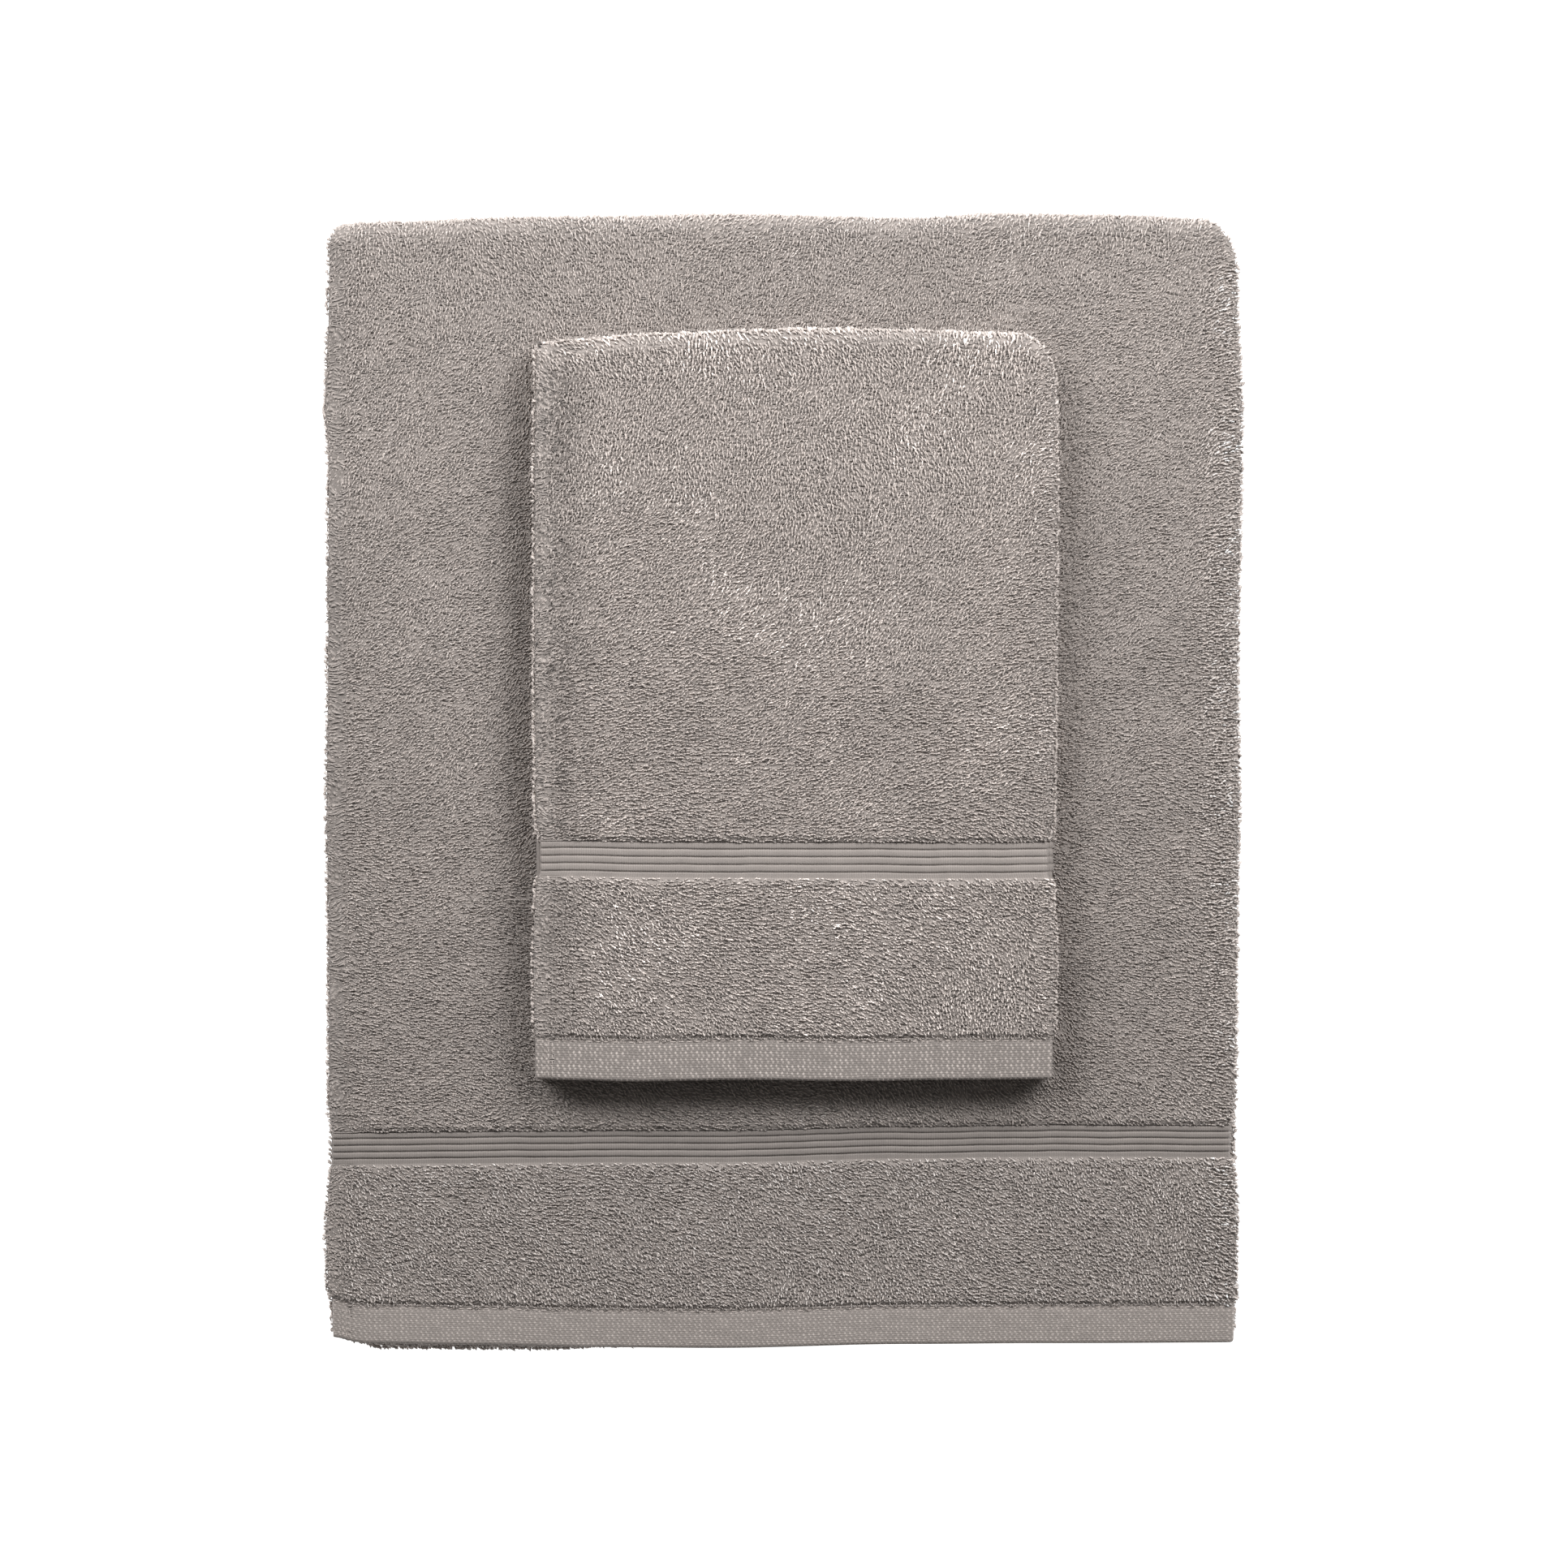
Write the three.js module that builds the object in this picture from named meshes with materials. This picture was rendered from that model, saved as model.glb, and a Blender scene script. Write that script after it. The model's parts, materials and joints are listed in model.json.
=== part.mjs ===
// A folded bath towel with a folded guest towel lying on top of it.
// Millimetres, +Z up. X runs across the towels, -Y is the end that shows the hems,
// and the origin is under the middle of the bath towel, on the surface it lies on.
import * as THREE from "three";

// Sizes of the open towels. The bath towel is folded in half across its width and then in
// thirds, the guest towel in half across its width and then in half again.
const bathFlatWidth = 700;
const bathFlatLength = 1300;
const guestFlatWidth = 400;
const guestFlatLength = 570;

// Where the guest towel's middle lies on the bath towel.
const guestOffsetX = 4.8;
const guestOffsetY = 29;

// Thickness of the flat weave, the height its loops add on each face, and how far the
// turned side hems stay below the loops.
const flatThickness = 2.4;
const loopHeight = 0.6;
const sideHemRecess = 0.7;

// Clearance between solids that touch, and between the two layers of a doubled panel.
const gap = 0.3;
const layerSlit = 0.3;

// Woven zones at a towel's end, measured along the towel.
const bathEndHem = 15.5;
const bathBand = 55.5;
const bathRibPitch = 2.55;
const guestEndHem = 16.5;
const guestBand = 60.5;
const guestRibPitch = 2.9;
const ribCount = 4;
const ribGroove = 0.5;
const borderTail = 2.8;

// Hems along the long edges, and the rows of sewing thread.
const sideHem = 8;
const threadWidth = 1.1;
const threadHeight = 0.5;
const seamInset = 1.4;
const hiddenEndBack = 4;

const arcSteps = 12;

const finishes = {
  bathTerry: { color: 0x9d948f, roughness: 0.95, metalness: 0 },
  guestTerry: { color: 0xa69d98, roughness: 0.95, metalness: 0 },
  borderWeave: { color: 0x958c87, roughness: 0.8, metalness: 0 },
  hemWeave: { color: 0x9b9691, roughness: 0.85, metalness: 0 },
  sideWeave: { color: 0x938a86, roughness: 0.9, metalness: 0 },
  sewingThread: { color: 0xa8a19c, roughness: 0.7, metalness: 0 },
};

const terryThickness = flatThickness + 2 * loopHeight;
const sideHemThickness = terryThickness - sideHemRecess;

// A doubled panel is two terry layers thick, less the clearance to its neighbour.
const panelPitch = 2 * terryThickness;
const panelHeight = panelPitch - gap;

function makeMesh(name, geometry, finish) {
  const mesh = new THREE.Mesh(geometry, new THREE.MeshStandardMaterial(finishes[finish]));
  mesh.name = name;
  return mesh;
}

// Outline of a doubled panel seen from its end: two layers lying on each other, with the
// lengthwise fold as a half round at the right.
function doubledOutline(left, right, middle, height) {
  const outer = height / 2;
  const inner = layerSlit / 2;
  const foldX = right - outer;
  const outline = new THREE.Shape();
  outline.moveTo(left, middle - outer);
  outline.lineTo(foldX, middle - outer);
  outline.absarc(foldX, middle, outer, -Math.PI / 2, Math.PI / 2, false);
  outline.lineTo(left, middle + outer);
  outline.lineTo(left, middle + inner);
  outline.lineTo(foldX, middle + inner);
  outline.absarc(foldX, middle, inner, Math.PI / 2, -Math.PI / 2, true);
  outline.lineTo(left, middle - inner);
  outline.closePath();
  return outline;
}

// The outline in X and Z, carried along Y from front to back.
function runAlongY(outline, front, back) {
  const options = { depth: back - front, bevelEnabled: false, curveSegments: arcSteps };
  const geometry = new THREE.ExtrudeGeometry(outline, options);
  geometry.rotateX(Math.PI / 2);
  geometry.translate(0, back, 0);
  return geometry;
}

// The outline in Y and Z, carried along X from left to right.
function runAlongX(outline, left, right) {
  const options = { depth: right - left, bevelEnabled: false, curveSegments: arcSteps };
  const geometry = new THREE.ExtrudeGeometry(outline, options);
  const turn = new THREE.Matrix4().makeBasis(
    new THREE.Vector3(0, 1, 0),
    new THREE.Vector3(0, 0, 1),
    new THREE.Vector3(1, 0, 0),
  );
  geometry.applyMatrix4(turn);
  geometry.translate(left, 0, 0);
  return geometry;
}

// One zone of a doubled panel, right of the side hems.
function makeZone(name, towel, bottom, front, back, thickness, finish) {
  const left = towel.left + sideHem + gap;
  const middle = bottom + panelHeight / 2;
  const height = 2 * thickness - gap;
  // The flat weaves are thinner, so their fold stands back from the terry's.
  const right = towel.right - (panelHeight - height) / 2;
  const outline = doubledOutline(left, right, middle, height);
  return makeMesh(name, runAlongY(outline, front, back), finish);
}

// The ribbed border: its outer faces carry raised ribs across the towel.
function makeBorder(name, towel, bottom, front, back) {
  const left = towel.left + sideHem + gap;
  const middle = bottom + panelHeight / 2;
  const ribTop = flatThickness - gap / 2;
  const grooveTop = ribTop - ribGroove;
  const right = towel.right - (panelHeight / 2 - ribTop);
  const outline = new THREE.Shape();
  outline.moveTo(front, middle - ribTop);
  outline.lineTo(back, middle - ribTop);
  outline.lineTo(back, middle + grooveTop);
  for (let rib = 0; rib < ribCount; rib += 1) {
    const ribBack = back - rib * towel.ribPitch - ribGroove;
    const ribFront = ribBack - towel.ribPitch + ribGroove;
    outline.lineTo(ribBack, middle + grooveTop);
    outline.lineTo(ribBack, middle + ribTop);
    outline.lineTo(ribFront, middle + ribTop);
    outline.lineTo(ribFront, middle + grooveTop);
  }
  outline.lineTo(front, middle + grooveTop);
  outline.closePath();
  return makeMesh(name, runAlongX(outline, left, right), "borderWeave");
}

// The folded-over edges of both layers of a panel, at the left.
function makeSideHems(prefix, towel, bottom, front, back) {
  const middle = bottom + panelHeight / 2;
  const inner = layerSlit / 2;
  const levels = { upper: middle + inner, lower: middle - inner - sideHemThickness };
  return Object.entries(levels).map(([level, low]) => {
    const radius = sideHemThickness / 2;
    const outline = new THREE.Shape();
    outline.moveTo(towel.left + radius, low);
    outline.lineTo(towel.left + sideHem, low);
    outline.lineTo(towel.left + sideHem, low + sideHemThickness);
    outline.lineTo(towel.left + radius, low + sideHemThickness);
    outline.absarc(towel.left + radius, low + radius, radius, Math.PI / 2, (3 * Math.PI) / 2, false);
    return makeMesh(`${prefix}_side_hem_${level}`, runAlongY(outline, front, back), "sideWeave");
  });
}

// The row of thread that holds an end hem, on the hem's upper face.
function makeHemStitching(name, towel, bottom, y) {
  const left = towel.left + sideHem + gap;
  const right = towel.right - panelHeight / 2;
  const face = bottom + panelHeight / 2 + flatThickness - gap / 2;
  const geometry = new THREE.BoxGeometry(right - left, threadWidth, threadHeight);
  geometry.translate((left + right) / 2, y, face + gap + threadHeight / 2);
  return makeMesh(name, geometry, "sewingThread");
}

// A doubled panel that ends in the woven zones: terry field, ribbed border, terry band and
// end hem, from the back forwards when direction is -1, and the other way when it is 1.
function makeEndedPanel(prefix, towel, bottom, foldY, endY) {
  const direction = Math.sign(endY - foldY);
  const hemStart = endY - direction * towel.endHem;
  const bandStart = hemStart - direction * towel.band;
  const borderStart = bandStart - direction * towel.borderWidth;
  const zones = [
    { name: "terry_field", start: foldY, end: borderStart, finish: towel.terry },
    { name: "border", start: borderStart, end: bandStart, finish: "borderWeave" },
    { name: "terry_band", start: bandStart, end: hemStart, finish: towel.terry },
    { name: "end_hem", start: hemStart, end: endY, finish: "hemWeave" },
  ];
  const meshes = zones.map((zone) => {
    const front = Math.min(zone.start, zone.end) + gap / 2;
    const back = Math.max(zone.start, zone.end) - gap / 2;
    const name = `${prefix}_${zone.name}`;
    if (zone.name === "border") {
      return makeBorder(name, towel, bottom, front, back);
    }
    const thickness = zone.finish === "hemWeave" ? flatThickness : terryThickness;
    return makeZone(name, towel, bottom, front, back, thickness, zone.finish);
  });
  const front = Math.min(foldY, endY) + gap / 2;
  const back = Math.max(foldY, endY) - gap / 2;
  meshes.push(...makeSideHems(prefix, towel, bottom, front, back));
  const seamY = hemStart + direction * seamInset;
  meshes.push(makeHemStitching(`${prefix}_hem_stitching`, towel, bottom, seamY));
  return meshes;
}

// A half ring of cloth that joins two panels at a crosswise fold. side is 1 at the back and
// -1 at the front.
function makeCrossFold(name, towel, foldY, axisZ, innerRadius, outerRadius, side, finish) {
  const start = foldY + side * (gap / 2);
  const up = Math.PI / 2;
  const outline = new THREE.Shape();
  outline.moveTo(start, axisZ - outerRadius);
  outline.absarc(start, axisZ, outerRadius, -up, up, side < 0);
  outline.lineTo(start, axisZ + innerRadius);
  outline.absarc(start, axisZ, innerRadius, up, -up, side > 0);
  outline.closePath();
  return makeMesh(name, runAlongX(outline, towel.left, towel.right), finish);
}

function describeTowel(width, length, x, y, zones) {
  return {
    left: x - width / 2,
    right: x + width / 2,
    front: y - length / 2,
    back: y + length / 2,
    borderWidth: ribCount * zones.ribPitch + borderTail,
    ...zones,
  };
}

// The bath towel: middle third on the surface, the far end third folded up over it from the
// front, and the near end third folded over both from the back.
function makeBathTowel() {
  const towel = describeTowel(bathFlatWidth / 2, bathFlatLength / 3, 0, 0, {
    endHem: bathEndHem,
    band: bathBand,
    ribPitch: bathRibPitch,
    terry: "bathTerry",
  });
  const group = new THREE.Group();
  const frontRadius = panelPitch - gap / 2;
  const backRadius = (3 * panelPitch - gap) / 2;
  const backInner = (panelPitch + gap) / 2;
  const frontFoldY = towel.front + frontRadius;
  const backFoldY = towel.back - backRadius;
  const middleFront = frontFoldY + gap / 2;
  const middleBack = backFoldY - gap / 2;
  group.add(
    makeZone("bath_middle_panel", towel, 0, middleFront, middleBack, terryThickness, towel.terry),
    ...makeSideHems("bath_middle", towel, 0, middleFront, middleBack),
    makeCrossFold(
      "bath_front_fold", towel, frontFoldY, frontRadius, gap / 2, frontRadius, -1, towel.terry,
    ),
    makeCrossFold(
      "bath_back_fold", towel, backFoldY, backRadius, backInner, backRadius, 1, towel.terry,
    ),
    ...makeEndedPanel("bath_inner", towel, panelPitch, frontFoldY, backFoldY - hiddenEndBack),
    ...makeEndedPanel("bath_flap", towel, 2 * panelPitch, backFoldY, towel.front),
  );
  return group;
}

// The guest towel: lower half on the bath towel, upper half folded over it from the back.
function makeGuestTowel() {
  const towel = describeTowel(guestFlatWidth / 2, guestFlatLength / 2, guestOffsetX, guestOffsetY, {
    endHem: guestEndHem,
    band: guestBand,
    ribPitch: guestRibPitch,
    terry: "guestTerry",
  });
  const group = new THREE.Group();
  const lowerBottom = 3 * panelPitch;
  const foldRadius = panelPitch - gap / 2;
  const foldY = towel.back - foldRadius;
  const foldZ = lowerBottom + foldRadius;
  group.add(
    ...makeEndedPanel("guest_lower", towel, lowerBottom, foldY, towel.front),
    makeCrossFold("guest_back_fold", towel, foldY, foldZ, gap / 2, foldRadius, 1, towel.terry),
    ...makeEndedPanel("guest_upper", towel, lowerBottom + panelPitch, foldY, towel.front),
  );
  return group;
}

const towelSet = new THREE.Group();
towelSet.add(makeBathTowel(), makeGuestTowel());

export default towelSet;
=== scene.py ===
import json
import math

import bpy
import numpy as np
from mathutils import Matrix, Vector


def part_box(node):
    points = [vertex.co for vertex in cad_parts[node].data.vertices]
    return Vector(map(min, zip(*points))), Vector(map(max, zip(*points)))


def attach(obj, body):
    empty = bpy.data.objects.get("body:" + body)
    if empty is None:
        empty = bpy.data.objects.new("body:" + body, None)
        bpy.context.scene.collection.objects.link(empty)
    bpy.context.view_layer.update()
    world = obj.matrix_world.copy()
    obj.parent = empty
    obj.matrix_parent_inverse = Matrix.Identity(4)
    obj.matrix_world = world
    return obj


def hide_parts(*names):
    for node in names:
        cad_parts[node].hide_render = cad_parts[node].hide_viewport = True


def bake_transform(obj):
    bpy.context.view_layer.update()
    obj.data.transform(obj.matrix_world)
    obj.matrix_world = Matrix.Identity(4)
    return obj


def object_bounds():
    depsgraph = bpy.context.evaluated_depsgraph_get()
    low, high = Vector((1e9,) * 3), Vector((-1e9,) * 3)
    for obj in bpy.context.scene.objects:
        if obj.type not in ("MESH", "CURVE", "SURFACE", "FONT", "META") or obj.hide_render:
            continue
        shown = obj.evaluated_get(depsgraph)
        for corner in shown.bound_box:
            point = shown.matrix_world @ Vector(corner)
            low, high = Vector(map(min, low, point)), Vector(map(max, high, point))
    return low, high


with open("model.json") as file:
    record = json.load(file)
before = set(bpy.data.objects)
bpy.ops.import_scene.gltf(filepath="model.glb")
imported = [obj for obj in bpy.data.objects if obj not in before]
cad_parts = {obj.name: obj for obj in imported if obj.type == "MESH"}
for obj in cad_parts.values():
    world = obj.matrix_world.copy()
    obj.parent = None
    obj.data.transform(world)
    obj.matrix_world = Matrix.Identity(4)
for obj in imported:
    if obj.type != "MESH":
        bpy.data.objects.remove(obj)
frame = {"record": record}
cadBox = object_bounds()
scene = bpy.context.scene
mm = 0.001


shot = {  # camera, floor and light
    "pictureWidth": 599 * mm,  # what the frame takes in, on top of the bath towel
    "centre": (0.3 * mm, -0.6 * mm),
    "lens": 110,
    "sensor": 36,
    "floorTone": 0.86,
    "floorGlow": 1.0,
    "keyDistance": 1.5,
    "keys": {  # both from the back: direction, size, power
        "keyRight": ((0.76, 0.80, 0.82), (0.9, 0.7), 24.0),
        "keyLeft": ((-0.72, 0.84, 0.80), (0.9, 0.7), 20.0),
    },
    "worldColour": (1.0, 0.985, 0.965, 1),
    "worldStrength": 0.14,
    "floorSize": 6,
    "floorDrop": 1.2 * mm,  # below the stack, room for the loops under it
}


def deselectAll():  # operators act on everything selected
    if bpy.context.mode != "OBJECT":
        bpy.ops.object.mode_set(mode="OBJECT")
    bpy.ops.object.select_all(action="DESELECT")


def addCamera(plane):
    data = bpy.data.cameras.new("camera")
    data.lens = shot["lens"]
    data.sensor_width = shot["sensor"]
    camera = bpy.data.objects.new("camera", data)
    scene.collection.objects.link(camera)
    distance = shot["pictureWidth"] / shot["sensor"] * shot["lens"]
    camera.location = (*shot["centre"], plane + distance)
    scene.camera = camera


def addLight(name, direction, distance, size, power):
    data = bpy.data.lights.new(name, "AREA")
    data.shape = "RECTANGLE"
    data.size, data.size_y = size
    data.energy = power
    light = bpy.data.objects.new(name, data)
    scene.collection.objects.link(light)
    place = np.array(direction) / np.linalg.norm(direction) * distance
    light.location = place
    light.rotation_mode = "QUATERNION"
    light.rotation_quaternion = light.location.to_track_quat("Z", "Y")


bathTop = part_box("bath_flap_terry_field")[1][2]
addCamera(bathTop)
for keyName, (direction, size, power) in shot["keys"].items():
    addLight(keyName, direction, shot["keyDistance"], size, power)
world = scene.world or bpy.data.worlds.new("studio")
scene.world = world
world.use_nodes = True
sky = world.node_tree.nodes["Background"].inputs
sky["Color"].default_value = shot["worldColour"]
sky["Strength"].default_value = shot["worldStrength"]
scene.view_settings.view_transform = "Standard"
print("camera and light ready")


class Wire:
    def __init__(self, tree, socket):
        self.tree = tree
        self.socket = socket

    def math(self, operation, other=None, flip=False):
        node = self.tree.nodes.new("ShaderNodeMath")
        node.operation = operation
        sides = [self] if other is None else ([other, self] if flip else [self, other])
        for slot, side in zip(node.inputs, sides):
            connect(self.tree, side, slot)
        return Wire(self.tree, node.outputs[0])

    def __add__(self, other):
        return self.math("ADD", other)

    def __radd__(self, other):
        return self.math("ADD", other, True)

    def __sub__(self, other):
        return self.math("SUBTRACT", other)

    def __rsub__(self, other):
        return self.math("SUBTRACT", other, True)

    def __mul__(self, other):
        return self.math("MULTIPLY", other)

    def __rmul__(self, other):
        return self.math("MULTIPLY", other, True)


def connect(tree, value, socket):
    if isinstance(value, Wire):
        tree.links.new(value.socket, socket)
    else:
        socket.default_value = value


class Finish:
    def __init__(self, name):
        self.material = bpy.data.materials.new(name)
        self.material.use_nodes = True
        self.tree = self.material.node_tree
        self.shader = self.tree.nodes["Principled BSDF"]

    def node(self, kind, settings, values, output=0):
        node = self.tree.nodes.new(kind)
        for key, value in settings.items():
            setattr(node, key, value)
        for key, value in values.items():
            connect(self.tree, value, node.inputs[key])
        return Wire(self.tree, node.outputs[output])

    def mix(self, share, low, high, blend="MIX"):
        settings = {"data_type": "RGBA", "blend_type": blend}
        return self.node("ShaderNodeMix", settings, {0: share, 6: low, 7: high}, 2)

    def spread(self, value, low, high, newLow, newHigh):
        values = {0: value, 1: low, 2: high, 3: newLow, 4: newHigh}
        return self.node("ShaderNodeMapRange", {"clamp": True}, values)

    def set(self, name, value):
        connect(self.tree, value, self.shader.inputs[name])

    def bump(self, height, strength, distance):
        values = {"Height": height, "Strength": strength, "Distance": distance}
        self.set("Normal", self.node("ShaderNodeBump", {}, values))


def shade(colour, by):
    return (colour[0] * by, colour[1] * by, colour[2] * by, 1)


cotton = {
    "bath": (0.475, 0.423, 0.393),
    "guest": (0.536, 0.477, 0.443),
    "bathGlint": 0.35,  # how much brighter a painted glint makes a loop
    "guestGlint": 1.15,
    "bathFlankShade": 0.86,  # the rest are shares of the yarn's colour: painted shade on the loops' flanks, painted light on their ridges, painted shade on the ground under them, a mix towards grey for the painted glints, then the weaves' tones
    "guestFlankShade": 0.74,
    "paintedRidgeLight": 1.29,
    "ground": 0.62,
    "glintWhite": 0.3,
    "bathHem": 0.70,
    "guestHem": 0.538,
    "bathBorder": 0.53,
    "guestBorder": 0.59,
}
weave = {  # widths and heights of the woven figures in mm
    "bathDots": (2.0, 2.2),
    "guestDots": (2.05, 2.6),
    "bathDotShine": 0.62,
    "guestDotShine": 1.15,
    "secondDot": (1.9, 2.6),  # how far the pair's other dot is turned on, in radians
    "ribStrand": 0.92,
    "patchScale": 30,
    "fibreScale": 2600,
    "looseScale": 1500,
}


def objectNoise(finish, scale, detail=2.0, output="Fac"):
    place = finish.node("ShaderNodeTexCoord", {}, {}, "Object")
    values = {"Vector": place, "Scale": scale, "Detail": detail}
    return finish.node("ShaderNodeTexNoise", {}, values, output)


def splitVector(finish, vector):
    parts = finish.tree.nodes.new("ShaderNodeSeparateXYZ")
    finish.tree.links.new(vector.socket, parts.inputs[0])
    return [Wire(finish.tree, output) for output in parts.outputs]


def setTinted(finish, colour, level):
    # the colour made lighter or darker by a level
    grey = finish.node("ShaderNodeCombineColor", {}, {0: level, 1: level, 2: level})
    finish.set("Base Color", finish.mix(1.0, colour, grey, "MULTIPLY"))


def setSurface(finish, roughness, specular, sheen=0.0):
    finish.set("Roughness", roughness)
    finish.set("Specular IOR Level", specular)
    if sheen:
        finish.set("Sheen Weight", sheen)


def makePileFinish(name, towelName):
    # painted light and shade: bright along each loop's ridge and dark down its flanks, with painted glints in
    # patches and painted light and shade carried in along the open edges
    finish = Finish(name)
    colour = cotton[towelName]
    marks = finish.node("ShaderNodeAttribute", {"attribute_name": "loopShade"}, {}, "Vector")
    # the painted ridge share, each loop's random tone, and the painted light and shade carried in along the
    # edges
    paintedRidgeLight, tone, edge = splitVector(finish, marks)
    patches = objectNoise(finish, weave["patchScale"])
    # painted glints: on the brighter loops in clusters of noise, and on the loops marked along the edges
    bright = finish.spread(objectNoise(finish, 24, 3), 0.48, 0.66, 0.0, 1.0)
    inPatches = finish.spread(tone, 0.72, 0.95, 0.0, 1.0) * bright
    glints = inPatches + finish.spread(tone, 0.45, 0.9, 0.1, 1.0) * edge
    root = shade(colour, cotton[towelName + "FlankShade"])
    # painted shade on each loop's flanks, painted light along its ridge
    mixed = finish.mix(paintedRidgeLight, root, shade(colour, cotton["paintedRidgeLight"]))
    grey = (sum(colour) / 3,) * 3 + (1,)
    mixed = finish.mix(glints * paintedRidgeLight * cotton["glintWhite"], mixed, grey)
    level = tone * 0.16 + 0.92 + (patches - 0.5) * 0.3
    setTinted(finish, mixed, level + glints * paintedRidgeLight * cotton[towelName + "Glint"])
    setSurface(finish, 0.62, 0.35, 0.15)
    finish.set("Sheen Roughness", 0.45)
    return finish.material


def makeGroundFinish(name, towelName):
    # cells like tufts where no loops are planted, with painted shade where they are low; plain and dark under
    # the loops as painted shade
    finish = Finish(name)
    colour = cotton[towelName]
    place = finish.node("ShaderNodeTexCoord", {}, {}, "Object")
    warp = objectNoise(finish, 60, 1, "Color")
    centred = finish.node("ShaderNodeVectorMath", {"operation": "SUBTRACT"}, {0: warp, 1: (0.5, 0.5, 0.5)})
    pushed = finish.node("ShaderNodeVectorMath", {"operation": "SCALE"}, {0: centred, "Scale": 0.016})
    moved = finish.node("ShaderNodeVectorMath", {"operation": "ADD"}, {0: place, 1: pushed})
    longCells = {"Vector": moved, "Rotation": (0, 0, 0.9), "Scale": (1, 2.1, 1)}
    turned = finish.node("ShaderNodeMapping", {}, longCells)
    cells = finish.node("ShaderNodeTexVoronoi", {}, {"Vector": turned, "Scale": 420.0}, "Distance")
    tufts = finish.spread(cells, 0.1, 0.62, 1.0, 0.0)
    height = tufts * 0.85 + objectNoise(finish, weave["looseScale"], 3) * 0.25
    piled = finish.node("ShaderNodeAttribute", {"attribute_name": "piled"}, {}, "Fac")
    patches = objectNoise(finish, weave["patchScale"]) * 0.3 + 0.85
    grey = finish.node("ShaderNodeCombineColor", {}, {0: patches, 1: patches, 2: patches})
    # painted shade: darker where the tufts are low
    bare = finish.mix(height, shade(colour, 0.42), shade(colour, 1.0))
    bare = finish.mix(1.0, bare, grey, "MULTIPLY")
    # painted shade under the loops, half of it where a layer lies on them
    finish.set("Base Color", finish.mix(piled, bare, shade(colour, cotton["ground"])))
    setSurface(finish, 0.9, 0.2, 0.1)
    finish.bump(height, 1.0, 1.1 * mm)
    return finish.material


def clothCoordinates(finish):
    # across and along the cloth, in mm
    return splitVector(finish, finish.node("ShaderNodeUVMap", {"uv_map": "clothMm"}, {}))[:2]


def wovenWave(place, pitch, turn=0):
    return (place * (math.tau / pitch) + turn).math("COSINE")


def makeHemFinish(name, towelName):
    # twill with raised dots in slanting pairs
    finish = Finish(name)
    across, along = weave[towelName + "Dots"]
    turnAcross, turnAlong = weave["secondDot"]
    u, v = clothCoordinates(finish)
    u = u + (objectNoise(finish, 260, 1) - 0.5) * 1.1
    v = v + (objectNoise(finish, 190, 1) - 0.5) * 0.9
    both = wovenWave(u, across) + wovenWave(v, along)
    beside = wovenWave(u, across, turnAcross) + wovenWave(v, along, turnAlong)
    rows = wovenWave(v, along / 3)
    dots = finish.spread(both, 0.7, 1.8, 0.0, 1.0) + finish.spread(beside, 0.7, 1.8, 0.0, 0.8)
    worn = finish.spread(objectNoise(finish, 300, 2), 0.3, 0.62, 0.1, 1.0)
    fibres = objectNoise(finish, weave["fibreScale"], 2)
    level = dots * worn * weave[towelName + "DotShine"] + rows * 0.07 + (fibres - 0.5) * 0.4 + 0.88
    setTinted(finish, shade(cotton[towelName], cotton[towelName + "Hem"]), level)
    setSurface(finish, 0.86, 0.25, 0.1)
    finish.bump(dots * 0.7 + rows * 0.12 + fibres * 0.3, 0.6, 0.35 * mm)
    return finish.material


def makeBorderFinish(name, towelName):
    # fine strands across the ribs
    finish = Finish(name)
    across = clothCoordinates(finish)[0]
    strands = finish.spread(wovenWave(across, weave["ribStrand"]), -1.0, 1.0, 0.0, 1.0)
    worn = finish.spread(objectNoise(finish, 140, 2), 0.4, 0.62, 0.2, 1.0)
    fibres = objectNoise(finish, weave["fibreScale"], 2)
    level = strands * worn * 0.16 + (fibres - 0.5) * 0.3 + 0.9
    setTinted(finish, shade(cotton[towelName], cotton[towelName + "Border"]), level)
    setSurface(finish, 0.8, 0.3, 0.1)
    finish.bump(strands * 0.5 + fibres * 0.4, 0.5, 0.25 * mm)
    return finish.material


def makeThreadFinish(name, towelName):
    finish = Finish(name)
    colour = cotton[towelName]
    fibres = objectNoise(finish, 3200, 2)
    finish.set("Base Color", finish.mix(fibres, shade(colour, 0.85), shade(colour, 1.35)))
    setSurface(finish, 0.7, 0.35)
    finish.bump(fibres, 0.4, 0.2 * mm)
    return finish.material


finishes = {}
for towelName in ("bath", "guest"):
    finishes[towelName + "Pile"] = makePileFinish(towelName + " terry loops", towelName)
    finishes[towelName + "Ground"] = makeGroundFinish(towelName + " terry ground", towelName)
    finishes[towelName + "Side"] = makeGroundFinish(towelName + " side hem", towelName)
    finishes[towelName + "Border"] = makeBorderFinish(towelName + " ribbed border", towelName)
    finishes[towelName + "Thread"] = makeThreadFinish(towelName + " sewing thread", towelName)
    finishes[towelName + "Hem"] = makeHemFinish(towelName + " hem twill", towelName)
print("materials ready")


def curve(points, at):
    # smooth line through a few (place, offset) points, both in mm, level beyond the ends
    xs = np.array([p[0] for p in points], float)
    ys = np.array([p[1] for p in points], float)
    at = np.clip(np.asarray(at, float) / mm, xs[0], xs[-1])
    i = np.clip(np.searchsorted(xs, at) - 1, 0, len(xs) - 2)
    share = (at - xs[i]) / (xs[i + 1] - xs[i])
    share = share * share * (3 - 2 * share)
    return (ys[i] * (1 - share) + ys[i + 1] * share) * mm


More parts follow.
